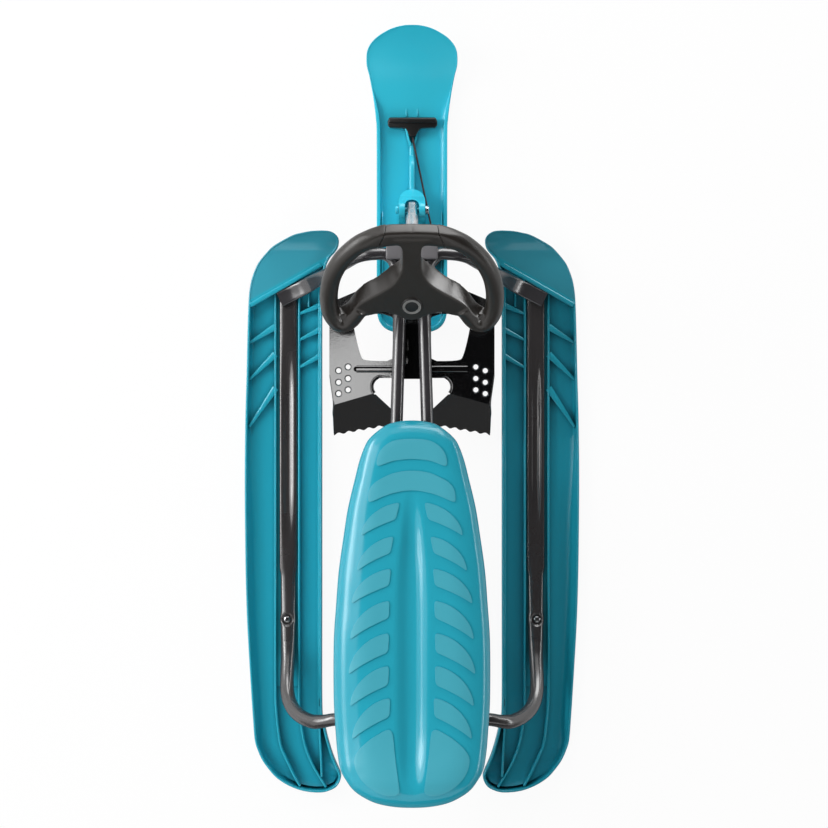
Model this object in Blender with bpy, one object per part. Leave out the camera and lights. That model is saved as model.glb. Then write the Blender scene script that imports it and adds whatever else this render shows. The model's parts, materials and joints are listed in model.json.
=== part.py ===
"""Steering sled: a snow sled on three skis, steered by a wheel.

Units are metres and +Z is up. The front ski points along +Y, the rider's
right is +X, and the origin lies on the ground under the sled's middle.
Mirrored pieces are modelled on the right side (+X) and turned over for the left.
"""

import math

import bmesh
import bpy
from mathutils import Matrix, Vector

# Fits
GAP = 0.0003
RUNNING_GAP = 0.0004

# Frame tubes
TUBE_RADIUS = 0.0095
TUBE_SIDES = 12
BEND_RADIUS = 0.022
KNEE_RADIUS = 0.030
HEAD_BEND = (0.0272, 0.2400, 0.1520)
BRACE_CREST = (0.0785, 0.2370, 0.1500)
CREST_RADIUS = 0.040
HEAD_KINK = (0.0178, 0.1560)
KINK_RADIUS = 0.080
BRACE_END = (0.2068, 0.1747)
BRACE_KNEE_X = 0.172
BRACE_END_HALF_WIDTH = 0.0100
BRACE_END_THICKNESS = 0.0090
CENTRE_TUBE_REAR_X = 0.0374
TUBE_OVERHANG = 0.0115
PLUG_DEPTH = 0.020
PLUG_WALL = 0.0015
PLUG_HEAD = 0.0030

# Side rails and rear hoop
RAIL_X = 0.195
RAIL_FRONT_Y = 0.182
RAIL_WIDTH = 0.029
RAIL_THICKNESS = 0.009
RAIL_KNEE_Y = -0.348
HOOP_CORNER = (0.195, -0.474, 0.088)
HOOP_SHOULDER_X = 0.100
HOOP_CROSS_Y = -0.4645
HOOP_CROSS_Z = 0.150
HOOP_BEND_RADIUS = 0.045

# Rear skis
SKI_RIM_HEIGHT = 0.028
SKI_RIB_HEIGHT = 0.0185
SKI_FLOOR = 0.004
SKI_BED = 0.0090
SKI_NOSE_START_Y = 0.187
SKI_NOSE_RADIUS = 0.110
SKI_NOSE_THICKNESS = 0.008
SKI_EDGE = 0.002
CHANNEL_HALF_WIDTH = 0.017
RIB_THICKNESS = 0.003
RIM_THICKNESS = 0.006
RIDGE_OUTER = (0.2549, 0.1662)
RIDGE_SLOPE = 0.569
RIDGE_WALL = 0.005
REAR_SKI_OUTER = [
    (-0.5941, 0.1609), (-0.5898, 0.1762), (-0.5820, 0.1949), (-0.5742, 0.2066),
    (-0.5664, 0.2167), (-0.5550, 0.2255), (-0.5430, 0.2339), (-0.5274, 0.2409),
    (-0.5118, 0.2455), (-0.4807, 0.2479), (-0.4339, 0.2510), (-0.3403, 0.2565),
    (-0.2468, 0.2596), (-0.1065, 0.2609), (-0.0130, 0.2600), (0.0806, 0.2575),
    (0.1741, 0.2549), (0.1928, 0.2536), (0.2022, 0.2518), (0.2115, 0.2487),
    (0.2303, 0.2409), (0.2488, 0.2259), (0.2577, 0.2170), (0.2664, 0.2018),
    (0.2750, 0.1834), (0.2790, 0.1640), (0.2806, 0.1483),
]
REAR_SKI_INNER = [
    (-0.5941, 0.1400), (-0.5898, 0.1239), (-0.5820, 0.1154), (-0.5742, 0.1122),
    (-0.5664, 0.1107), (-0.5586, 0.1146), (-0.5508, 0.1177), (-0.5352, 0.1247),
    (-0.5196, 0.1290), (-0.5040, 0.1330), (-0.4880, 0.1358), (-0.4504, 0.1406),
    (0.1500, 0.1406), (0.1741, 0.1400), (0.2407, 0.1272), (0.2554, 0.1153),
    (0.2664, 0.1133), (0.2750, 0.1169), (0.2790, 0.1240), (0.2806, 0.1313),
]
RIM_LINE_END = (0.1900, -0.5780)
INNER_WALL_X = 0.1468
OUTER_CROSS_RIBS = [(0.1089, 0.1286), (0.0511, 0.0879), (-0.0223, 0.0364)]
INNER_CROSS_RIBS = [(0.1548, 0.1682), (0.1136, 0.1286), (0.0704, 0.0890)]
TAIL_OUTER_RIB = [(0.2095, -0.4707), (0.2032, -0.5144), (0.1892, -0.5550), (0.1725, -0.5810)]
TAIL_INNER_RIB = [(0.1768, -0.4832), (0.1713, -0.5160), (0.1588, -0.5472), (0.1420, -0.5790)]
TAIL_FLARE = [(0.1408, -0.5100), (0.1350, -0.5270), (0.1240, -0.5530), (0.1165, -0.5680),
              (0.1190, -0.5760), (0.1240, -0.5825), (0.1330, -0.5865), (0.1408, -0.5700)]

# Rear ski fasteners
RAIL_BOLT_Y = -0.3246
RAIL_SCREW_Y = 0.140
BOLT_RADIUS = 0.003
BOLT_HEAD_RADIUS = 0.0052
BOLT_HEAD_HEIGHT = 0.0032

# Front ski
FRONT_SKI_EDGE = [
    (0.1238, 0.0150), (0.1256, 0.0300), (0.1300, 0.0410), (0.1370, 0.0485), (0.1460, 0.0530),
    (0.1593, 0.0551), (0.2800, 0.0551), (0.3600, 0.0551), (0.4385, 0.0552), (0.4751, 0.0584),
    (0.4990, 0.0619), (0.5226, 0.0664), (0.5456, 0.0706), (0.5570, 0.0696), (0.5683, 0.0640),
    (0.5795, 0.0530), (0.5880, 0.0368), (0.5940, 0.0110),
]
FRONT_SKI_NOSE_START_Y = 0.428
FRONT_SKI_NOSE_RADIUS = 0.212
FRONT_SKI_THICKNESS = 0.005
FRONT_SKI_RIM_WIDTH = 0.0060
FRONT_SKI_RIM_HEIGHT = 0.0140
FRONT_SKI_RIM_FADE = (0.470, 0.500)
KEEL_X = 0.030
KEEL_WIDTH = 0.008
KEEL_HEIGHT = 0.0025

# Steering column
COLUMN_LEAN = math.radians(44.0)
AXLE_Y = 0.3109
AXLE_Z = 0.0750
AXLE_RADIUS = 0.0040
AXLE_HEAD_RADIUS = 0.0065
AXLE_HEAD_LENGTH = 0.0045
BRACKET_HALF_WIDTH = 0.0204
BRACKET_SLOT = 0.0110
BRACKET_FRONT_Y = 0.3464
BRACKET_SLOT_FRONT_Y = 0.3274
BRACKET_REAR_Y = 0.2930
BRACKET_EAR_RADIUS = 0.0130
BRACKET_NOSE_Z = 0.0480
SHAFT_RADIUS = 0.0095
SHAFT_TIP = 0.0090
HEAD_TUBE_RADIUS = 0.0135
HEAD_TUBE_BORE = 0.0117
HEAD_TUBE_START = 0.066
HEAD_TUBE_END = 0.152
BUSH_FLANGE = 0.002
BUSH_DEPTH = 0.014
COLLAR_LENGTH = 0.005
HEAD_BRACKET_X = (0.0137, 0.0392)
HEAD_BRACKET_Y = (0.2290, 0.2530)
HEAD_BRACKET_Z = (0.1360, 0.1690)

# Steering wheel, in its own plane: u to the right, v up the column's front
WHEEL_AT = 0.2133
RIM_RADIUS = 0.0135
RIM_PATH = [(0.0, 0.1315), (0.0340, 0.1310), (0.0480, 0.1275), (0.0620, 0.1205), (0.0780, 0.1065),
            (0.0960, 0.0850), (0.1080, 0.0630), (0.1165, 0.0430), (0.1220, 0.0170),
            (0.1222, -0.0080), (0.1180, -0.0240), (0.1100, -0.0385)]
SEAM_U = 0.0385
SPOKE_OUTLINE = [(0.0, 0.1260), (0.0130, 0.1260), (0.0135, 0.0820), (0.0165, 0.0660),
                 (0.0230, 0.0530), (0.0370, 0.0410), (0.0560, 0.0310), (0.0720, 0.0190),
                 (0.0850, 0.0040), (0.1000, -0.0060), (0.1200, -0.0100), (0.1180, -0.0330),
                 (0.1000, -0.0400), (0.0880, -0.0350), (0.0760, -0.0240), (0.0580, -0.0170),
                 (0.0430, -0.0150), (0.0310, -0.0180), (0.0160, -0.0270), (0.0, -0.0290)]
SPOKE_THICKNESS = 0.022
SPOKE_BEVEL = 0.006
HUB_RADIUS = 0.027
HUB_BACK = 0.030
HUB_FRONT = 0.0150
CAP_RADIUS = 0.0165
CAP_HEIGHT = 0.0045
WHEEL_BOLT_RADIUS = 0.0040
WHEEL_BOLT_HEAD_RADIUS = 0.0070
WHEEL_BOLT_HEAD = 0.0050

# Brake
BRAKE_Z = 0.1000
BRAKE_SHEET = 0.0025
BRAKE_PIVOT_Y = 0.1564
PIVOT_RADIUS = 0.0040
ROLL_RADIUS = 0.0078
ROLL_HALF_LENGTH = 0.0240
BRAKE_OUTLINE = [(0.0, 0.1832), (0.0873, 0.1832), (0.1163, 0.1709), (0.1264, 0.1600),
                 (0.1264, 0.0546), (0.1195, 0.0102), (0.0628, 0.0266), (0.0556, 0.0266)]
BLADE_PLAN = [(0.0321, 0.0045), (0.0279, -0.0207), (0.1209, -0.0369)]
BLADE_ANGLE = math.radians(50.0)
BLADE_TEETH = 6
TOOTH_DEPTH = 0.003
NOTCH_CENTRE = (0.0453, 0.0382)
NOTCH_RADIUS = 0.0138
CROSSBAR_REAR_Y = 0.0515
BRAKE_WINDOW = [(0.0180, 0.1495), (0.0880, 0.1495), (0.0912, 0.1379), (0.0790, 0.0837),
                (0.0715, 0.0775), (0.0180, 0.0775)]
BRAKE_HOLES = [(0.0978, 0.0685), (0.1123, 0.0628), (0.0978, 0.0507), (0.1123, 0.0449),
               (0.0978, 0.0334), (0.1123, 0.0276)]
BRAKE_HOLE_RADIUS = 0.0042
BEAD_Y = 0.0652
BEAD_RADIUS = 0.0055
BEAD_END_X = 0.0850
SPRING_WIRE = 0.0010
SPRING_RADIUS = 0.0055
SPRING_TURNS = 5
SPRING_PITCH = 0.0026

# Centre plate with the brake's ears
CENTRE_PLATE_Y = (0.0494, 0.1700)
CENTRE_PLATE_HALF_WIDTH = 0.0290
CENTRE_PLATE_THICKNESS = 0.003
EAR_THICKNESS = 0.003
EAR_RADIUS = 0.0064
PLATE_NOTCH = (0.0090, 0.1343)
PLATE_HOLE = (-0.0085, 0.0775)
PLATE_HOLE_RADIUS = 0.0024
PLATE_HOLE_REACH = 0.0030
PLATE_SLOT = (-0.0070, 0.1007)
PLATE_SLOT_HALF = (0.0015, 0.0073)

# Seat: half width and top height at each station along the sled
SEAT_STATIONS = [
    (-0.0140, 0.0134, 0.1760), (-0.0180, 0.0357, 0.1815), (-0.0245, 0.0462, 0.1860),
    (-0.0364, 0.0599, 0.1905), (-0.0483, 0.0690, 0.1935), (-0.0721, 0.0782, 0.1965),
    (-0.1000, 0.0854, 0.1990), (-0.1436, 0.0957, 0.2015), (-0.1850, 0.1023, 0.2035),
    (-0.2389, 0.1098, 0.2055), (-0.2900, 0.1138, 0.2070), (-0.3462, 0.1173, 0.2085),
    (-0.4296, 0.1173, 0.2110), (-0.4810, 0.1142, 0.2140), (-0.5120, 0.1113, 0.2175),
    (-0.5360, 0.1066, 0.2215), (-0.5520, 0.0975, 0.2235), (-0.5640, 0.0880, 0.2235),
    (-0.5742, 0.0741, 0.2215), (-0.5838, 0.0540, 0.2165), (-0.5908, 0.0200, 0.2080),
]
SEAT_PROFILE = [(0.0, 0.0085), (0.10, 0.0080), (0.17, 0.0050), (0.23, 0.0015), (0.30, 0.0),
                (0.46, 0.0008), (0.62, 0.0030), (0.76, 0.0070), (0.88, 0.0130), (0.96, 0.0210),
                (1.0, 0.0300)]
SEAT_WALL = 0.004
SEAT_CHANNEL_FADE = (-0.115, -0.165)
SEAT_REAR_FADE = (-0.539, -0.579)
SEAT_SADDLES = [(-0.1250, 0.0520), (-0.4000, 0.0700)]
SADDLE_LENGTH = 0.018
BOSS_RADIUS = 0.0075
BOSS_HOLE_DEPTH = 0.0175
CLAMP_THICKNESS = 0.0025
CLAMP_LENGTH = 0.022
SEAT_SCREW_RADIUS = 0.0025
SEAT_SCREW_HEAD = 0.0050

# Pull handle, cord and reel
CORD_RADIUS = 0.0015
CORD_Z = 0.0200
CORD_START = (0.0008, 0.4284)
CORD_TURN = (0.0289, 0.2945)
HANDLE_BAR_Y = 0.4511
HANDLE_BAR_LENGTH = 0.078
HANDLE_BAR_WIDTH = 0.0165
HANDLE_BAR_HEIGHT = 0.0140
STEM_ROOT = 0.0060
STEM_TIP = 0.0028
REEL_TANGENT = 0.044
CORD_TAIL = 0.010
REEL_RADIUS = 0.0268
REEL_WALL = 0.002
REEL_HEIGHT = 0.0270
WINDING_RADIUS = 0.0166
DRUM_RADIUS = 0.0105
SPINDLE_RADIUS = 0.0030
SPOOL_THICKNESS = 0.0016

TEAL_RIM = (0.035, 0.42, 0.52, 1.0)
SPRING_STEPS = 9


def make_material(name, colour, roughness, metallic=0.0):
    material = bpy.data.materials.new(name)
    material.use_nodes = True
    shader = material.node_tree.nodes["Principled BSDF"]
    shader.inputs["Base Color"].default_value = colour
    shader.inputs["Roughness"].default_value = roughness
    shader.inputs["Metallic"].default_value = metallic
    return material


def clear_scene():
    for obj in list(bpy.data.objects):
        bpy.data.objects.remove(obj, do_unlink=True)


def add_object(name, bm, material=None, smooth_angle=35.0):
    """Turns a bmesh into a linked object whose faces point outwards."""
    bmesh.ops.recalc_face_normals(bm, faces=bm.faces)
    mesh = bpy.data.meshes.new(name)
    bm.to_mesh(mesh)
    bm.free()
    mesh.shade_smooth()
    mesh.set_sharp_from_angle(angle=math.radians(smooth_angle))
    obj = bpy.data.objects.new(name, mesh)
    bpy.context.scene.collection.objects.link(obj)
    if material is not None:
        mesh.materials.append(material)
    return obj


def make_cutter(obj):
    obj.hide_render = True
    obj.display_type = "WIRE"
    return obj


def combine(obj, tool, operation):
    """Adds a Boolean with a hidden tool to an object."""
    make_cutter(tool)
    modifier = obj.modifiers.new(tool.name, "BOOLEAN")
    modifier.operation = operation
    modifier.object = tool
    modifier.solver = "EXACT"
    return obj


def cut(obj, tool):
    return combine(obj, tool, "DIFFERENCE")


def join(obj, tool):
    return combine(obj, tool, "UNION")


def add_rings(bm, rings, cap_start=True, cap_end=True):
    """Skins a row of equal rings of points, with a face over each end."""
    loops = [[bm.verts.new(point) for point in ring] for ring in rings]
    count = len(loops[0])
    for first, second in zip(loops, loops[1:]):
        for i in range(count):
            j = (i + 1) % count
            bm.faces.new((first[i], first[j], second[j], second[i]))
    if cap_start:
        bm.faces.new(list(reversed(loops[0])))
    if cap_end:
        bm.faces.new(loops[-1])
    return loops


def loft(name, rings, material=None):
    bm = bmesh.new()
    add_rings(bm, rings)
    return add_object(name, bm, material)


def add_prism(bm, outline, low, high):
    """Adds an upright prism over a plan outline of (x, y) points."""
    add_rings(bm, [[Vector((x, y, low)) for x, y in outline],
                   [Vector((x, y, high)) for x, y in outline]])


def prism(name, outline, low, high, material=None):
    bm = bmesh.new()
    add_prism(bm, outline, low, high)
    return add_object(name, bm, material)


def block(name, low, high, material=None, bevel=0.0):
    outline = [(low[0], low[1]), (high[0], low[1]), (high[0], high[1]), (low[0], high[1])]
    bm = bmesh.new()
    add_prism(bm, outline, low[2], high[2])
    if bevel:
        bmesh.ops.bevel(bm, geom=bm.edges[:], offset=bevel, segments=2, profile=0.5,
                        affect="EDGES")
    return add_object(name, bm, material)


def turned(name, start, direction, profile, material=None, sides=24):
    """Turns a profile of (distance, radius) points about a line into a closed body."""
    axis = Vector(direction).normalized()
    side = axis.orthogonal().normalized()
    across = axis.cross(side)
    bm = bmesh.new()
    loops = []
    for distance, radius in profile:
        centre = Vector(start) + axis * distance
        if radius == 0.0:
            loops.append([bm.verts.new(centre)])
            continue
        loops.append([bm.verts.new(centre + side * (radius * math.cos(math.tau * i / sides))
                                   + across * (radius * math.sin(math.tau * i / sides)))
                      for i in range(sides)])
    closed = profile[0][1] != 0.0
    pairs = list(zip(loops, loops[1:]))
    if closed:
        pairs.append((loops[-1], loops[0]))
    for first, second in pairs:
        for i in range(sides):
            j = (i + 1) % sides
            corners = [first[i % len(first)], first[j % len(first)],
                       second[j % len(second)], second[i % len(second)]]
            corners = [v for k, v in enumerate(corners) if v not in corners[:k]]
            if len(corners) > 2:
                bm.faces.new(corners)
    return add_object(name, bm, material)


def rod(name, start, end, radius, material=None, sides=24):
    span = Vector(end) - Vector(start)
    length = span.length
    profile = [(0.0, 0.0), (0.0, radius), (length, radius), (length, 0.0)]
    return turned(name, start, span, profile, material, sides)


def fillet_path(corners, radii, step=math.radians(14.0)):
    """Rounds the inner corners of a polyline, as a tube bender does."""
    points = [Vector(corners[0])]
    for previous, corner, following, radius in zip(corners, corners[1:], corners[2:], radii):
        corner = Vector(corner)
        into = (corner - Vector(previous)).normalized()
        out = (Vector(following) - corner).normalized()
        turn = into.angle(out)
        reach = radius * math.tan(turn / 2.0)
        start = corner - into * reach
        centre = start + (out - into * into.dot(out)).normalized() * radius
        inward = (start - centre).normalized()
        count = max(2, math.ceil(turn / step))
        for i in range(count + 1):
            angle = turn * i / count
            points.append(centre + inward * (radius * math.cos(angle))
                          + into * (radius * math.sin(angle)))
    points.append(Vector(corners[-1]))
    return points


def section_rings(points, section, sides, first_side):
    """Carries a section along a path without twist.

    section takes the distance along the path and gives half width, half height and
    the power of the superellipse, which is 2 for a round tube.
    """
    rings = []
    side = Vector(first_side).normalized()
    travelled = 0.0
    for i, point in enumerate(points):
        before = points[max(i - 1, 0)]
        after = points[min(i + 1, len(points) - 1)]
        forward = ((after - point).normalized() if i == 0 else
                   (point - before).normalized() if i == len(points) - 1 else
                   ((after - point).normalized() + (point - before).normalized()).normalized())
        side = (side - forward * side.dot(forward)).normalized()
        up = side.cross(forward)
        if i:
            travelled += (point - before).length
        half_width, half_height, power = section(travelled)
        ring = []
        for k in range(sides):
            angle = math.tau * (k + 0.5) / sides
            c = math.cos(angle)
            s = math.sin(angle)
            wide = half_width * math.copysign(abs(c) ** (2.0 / power), c)
            high = half_height * math.copysign(abs(s) ** (2.0 / power), s)
            ring.append(point + side * wide + up * high)
        rings.append(ring)
    return rings


def sweep(name, points, radius, material=None, sides=TUBE_SIDES, first_side=(1.0, 0.0, 0.0)):
    rings = section_rings(points, lambda travelled: (radius, radius, 2.0), sides, first_side)
    return loft(name, rings, material)


def blend_value(x, start, end):
    """A smooth step from 0 at start to 1 at end."""
    t = min(max((x - start) / (end - start), 0.0), 1.0)
    return t * t * (3.0 - 2.0 * t)


def table_value(table, key):
    """Reads a table of (key, value) rows, straight between rows."""
    for (a, low), (b, high) in zip(table, table[1:]):
        if a <= key <= b:
            return low + (high - low) * (key - a) / (b - a)
    return table[0][1] if key < table[0][0] else table[-1][1]


def smooth_outline(points, steps=3):
    """A Catmull-Rom curve through the points, which may be 2-D or 3-D."""
    result = []
    vectors = [Vector(p) for p in points]
    for i in range(len(vectors) - 1):
        p0 = vectors[max(i - 1, 0)]
        p1 = vectors[i]
        p2 = vectors[i + 1]
        p3 = vectors[min(i + 2, len(vectors) - 1)]
        for k in range(steps):
            t = k / steps
            result.append(0.5 * (2 * p1 + (p2 - p0) * t + (2 * p0 - 5 * p1 + 4 * p2 - p3) * t * t
                                 + (3 * p1 - p0 - 3 * p2 + p3) * t ** 3))
    result.append(vectors[-1])
    return result


def arc_points(centre, radius, start, end, count):
    return [(centre[0] + radius * math.cos(math.radians(start + (end - start) * i / count)),
             centre[1] + radius * math.sin(math.radians(start + (end - start) * i / count)))
            for i in range(count + 1)]


def mirrored(points, side):
    """Plan points of the right side, turned over for the left when side is -1."""
    return [(x * side, y) for x, y in points]


def side_name(side):
    return "right" if side > 0 else "left"


def column_point(distance, across=0.0, up=0.0):
    """A point of the steering column: distance from the axle, u and v in the wheel's plane."""
    sine = math.sin(COLUMN_LEAN)
    cosine = math.cos(COLUMN_LEAN)
    return Vector((across, AXLE_Y - sine * distance + cosine * up,
                   AXLE_Z + cosine * distance + sine * up))


def column_axis():
    return column_point(1.0) - column_point(0.0)


def rail_top():
    return SKI_BED + GAP + RAIL_THICKNESS


def centre_tube_z(y):
    """Height of the centre tubes' axis, which rises to lie on the rear hoop."""
    rear = HOOP_CROSS_Z + 2.0 * TUBE_RADIUS + GAP
    share = (HEAD_BEND[1] - y) / (HEAD_BEND[1] - HOOP_CROSS_Y)
    return HEAD_BEND[2] + (rear - HEAD_BEND[2]) * share


def centre_tube_x(y):
    share = (HEAD_KINK[1] - y) / (HEAD_KINK[1] - HOOP_CROSS_Y)
    return HEAD_KINK[0] + (CENTRE_TUBE_REAR_X - HEAD_KINK[0]) * share


def centre_tube_end_y():
    return HOOP_CROSS_Y - TUBE_OVERHANG


def frame_tube_path(side):
    end_z = rail_top() + GAP + BRACE_END_THICKNESS / 2.0
    slope = (BRACE_CREST[1] - BRACE_END[1]) / (BRACE_END[0] - BRACE_CREST[0])
    knee_y = BRACE_END[1] + (BRACE_END[0] - BRACE_KNEE_X) * slope
    end_y = centre_tube_end_y()
    corners = [(BRACE_END[0], BRACE_END[1], end_z), (BRACE_KNEE_X, knee_y, end_z),
               BRACE_CREST, HEAD_BEND,
               (HEAD_KINK[0], HEAD_KINK[1], centre_tube_z(HEAD_KINK[1])),
               (centre_tube_x(end_y), end_y, centre_tube_z(end_y))]
    corners = [(x * side, y, z) for x, y, z in corners]
    points = fillet_path(corners, [KNEE_RADIUS, CREST_RADIUS, BEND_RADIUS, KINK_RADIUS])
    start = points[0]
    points.insert(1, start + (points[1] - start) * 0.5)
    return points


def frame_tube_section(travelled):
    """Pressed flat at the rail, round from the brace's knee on."""
    share = blend_value(travelled, 0.030, 0.095)
    half_width = BRACE_END_HALF_WIDTH + (TUBE_RADIUS - BRACE_END_HALF_WIDTH) * share
    half_height = BRACE_END_THICKNESS / 2.0
    half_height += (TUBE_RADIUS - half_height) * share
    return half_width, half_height, 5.0 - 3.0 * share


def add_frame_tube(side, steel):
    """One bent tube: flattened brace end, bend at the head, centre tube under the seat."""
    name = side_name(side) + "_frame_tube"
    path = frame_tube_path(side)
    across = Vector((0.0, 1.0, 0.0))
    rings = section_rings(path, frame_tube_section, TUBE_SIDES, across)
    tube = loft(name, rings, steel)
    end = path[-1]
    inward = (path[-2] - end).normalized()
    bore = rod(name + "_bore", end - inward * 0.002, end + inward * (PLUG_DEPTH + 0.004),
               TUBE_RADIUS - PLUG_WALL, sides=TUBE_SIDES)
    return cut(tube, bore)


def add_tube_plug(side, plastic):
    """A plastic plug pressed into the centre tube's rear end."""
    path = frame_tube_path(side)
    end = path[-1]
    outward = (end - path[-2]).normalized()
    stem = TUBE_RADIUS - PLUG_WALL - GAP
    profile = [(-PLUG_DEPTH, 0.0), (-PLUG_DEPTH, stem * 0.9), (-PLUG_DEPTH + 0.002, stem),
               (GAP, stem), (GAP, TUBE_RADIUS), (PLUG_HEAD * 0.6, TUBE_RADIUS),
               (PLUG_HEAD, TUBE_RADIUS * 0.75), (PLUG_HEAD, 0.0)]
    return turned(side_name(side) + "_tube_plug", end, outward, profile, plastic, TUBE_SIDES)


def hoop_path():
    """The right half of the hoop's axis, from the rail's front end to the middle."""
    z = SKI_BED + GAP + RAIL_THICKNESS / 2.0
    corners = [(RAIL_X, RAIL_FRONT_Y, z), (RAIL_X, RAIL_KNEE_Y, z), HOOP_CORNER,
               (HOOP_SHOULDER_X, HOOP_CROSS_Y, HOOP_CROSS_Z), (0.0, HOOP_CROSS_Y, HOOP_CROSS_Z)]
    return fillet_path(corners, [HOOP_BEND_RADIUS] * 3, math.radians(16.0))


def hoop_section(travelled):
    """Flat over the skis, round behind them."""
    flat = RAIL_FRONT_Y - RAIL_KNEE_Y
    share = blend_value(travelled, flat - 0.020, flat + 0.110)
    half_width = RAIL_WIDTH / 2.0 + (TUBE_RADIUS - RAIL_WIDTH / 2.0) * share
    half_height = RAIL_THICKNESS / 2.0 + (TUBE_RADIUS - RAIL_THICKNESS / 2.0) * share
    return half_width, half_height, 6.0 - 4.0 * share


def add_rear_hoop(steel):
    """Both side rails and the round hoop behind them, bent from one tube."""
    right = section_rings(hoop_path(), hoop_section, TUBE_SIDES, (1.0, 0.0, 0.0))
    left = [[Vector((-p.x, p.y, p.z)) for p in ring] for ring in reversed(right[:-1])]
    hoop = loft("rear_hoop", right + left, steel)
    low = SKI_BED - 0.002
    for side in (1, -1):
        x = RAIL_X * side
        hole = rod(f"rail_bolt_hole_{side_name(side)}", (x, RAIL_BOLT_Y, low),
                   (x, RAIL_BOLT_Y, rail_top() + 0.002), BOLT_RADIUS + GAP, sides=12)
        cut(hoop, hole)
        screw_hole = rod(f"rail_screw_hole_{side_name(side)}", (x, RAIL_SCREW_Y, low),
                         (x, RAIL_SCREW_Y, rail_top() - 0.0035), BOLT_RADIUS + GAP, sides=12)
        cut(hoop, screw_hole)
    return hoop


def ski_bottom(y):
    """Height of the rear ski's running surface."""
    run = max(y - SKI_NOSE_START_Y, 0.0)
    return SKI_NOSE_RADIUS - math.sqrt(SKI_NOSE_RADIUS ** 2 - run ** 2)


def ski_top(y):
    return max(SKI_RIM_HEIGHT, ski_bottom(y) + SKI_NOSE_THICKNESS)


def ridge_y(x):
    """The slanting ridge that closes the ski's pan in front."""
    return RIDGE_OUTER[1] + (RIDGE_OUTER[0] - x) * RIDGE_SLOPE


def pan_front(x, ledge=0.0):
    """Where the pan's floor meets the back of the slanting ridge."""
    return ridge_y(x) - RIDGE_WALL - ledge


def rear_ski_blank(name, side, plastic):
    stations = sorted({y for y, _ in REAR_SKI_OUTER} | {y for y, _ in REAR_SKI_INNER})
    rings = []
    for y in stations:
        out = table_value(REAR_SKI_OUTER, y)
        inn = table_value(REAR_SKI_INNER, y)
        low = ski_bottom(y)
        high = ski_top(y)
        e = SKI_EDGE
        ring = [(inn + e, low), (out - e, low), (out, low + e), (out, high - e / 2),
                (out - e / 2, high), (inn + e / 2, high), (inn, high - e / 2), (inn, low + e)]
        rings.append([Vector((x * side, y, z)) for x, z in ring])
    return loft(name, rings, plastic)


def rim_x(y):
    """Inner side of the ski's outer rim."""
    return table_value(REAR_SKI_OUTER, y) - RIM_THICKNESS


def rim_line():
    """The rim's inner side in plan, from the ridge to the tail."""
    line = [(rim_x(y), y) for y, _ in reversed(REAR_SKI_OUTER) if -0.570 < y < 0.150]
    return line + [RIM_LINE_END]


def ski_cells():
    """Plan outlines of the pockets between the ski's ribs."""
    channel_outer = RAIL_X + CHANNEL_HALF_WIDTH
    channel_inner = RAIL_X - CHANNEL_HALF_WIDTH
    outer = channel_outer + RIB_THICKNESS
    inner = channel_inner - RIB_THICKNESS
    wall = INNER_WALL_X
    half = RIB_THICKNESS / 2.0
    cells = []
    front_x = rim_x(RIDGE_OUTER[1])
    front = [(front_x, pan_front(front_x, 0.0015)), (outer, pan_front(outer, 0.0015))]
    for rim_end, channel_end in OUTER_CROSS_RIBS:
        cells.append(front + [(outer, channel_end + half), (rim_x(rim_end), rim_end + half)])
        front = [(rim_x(rim_end), rim_end - half), (outer, channel_end - half)]
    tail = [(x + RIB_THICKNESS, y) for x, y in TAIL_OUTER_RIB[:3]]
    line = [(x, y) for x, y in rim_line() if y < front[0][1] - 0.002]
    cells.append([front[0], front[1], (outer, -0.4550)] + tail + [(0.1790, -0.5760)]
                 + list(reversed(line)))
    front = [(inner, pan_front(inner, 0.0015)), (wall, pan_front(wall, 0.0015))]
    for channel_end, wall_end in INNER_CROSS_RIBS:
        cells.append(front + [(wall, wall_end + half), (inner, channel_end + half)])
        front = [(inner, channel_end - half), (wall, wall_end - half)]
    tail = [(x - RIB_THICKNESS, y) for x, y in TAIL_INNER_RIB[:3]]
    cells.append([front[1], front[0], (inner, -0.4700)] + tail + [(wall, -0.5600)])
    cells.append(TAIL_FLARE)
    return cells


def channel_outline():
    outer = RAIL_X + CHANNEL_HALF_WIDTH
    inner = RAIL_X - CHANNEL_HALF_WIDTH
    return ([(inner, pan_front(inner, 0.0008)), (outer, pan_front(outer, 0.0008)),
             (outer, -0.4550)] + TAIL_OUTER_RIB + list(reversed(TAIL_INNER_RIB))
            + [(inner, -0.4700)])


def level_outline():
    """The area inside rim and walls, where the ribs stay lower than the rim."""
    wall = INNER_WALL_X - 0.0007
    line = [(x + 0.0007, y) for x, y in rim_line()]
    return ([(wall, pan_front(wall)), (line[0][0], pan_front(line[0][0]))]
            + line + [(0.1650, -0.5850), (wall, -0.5820)])


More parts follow.
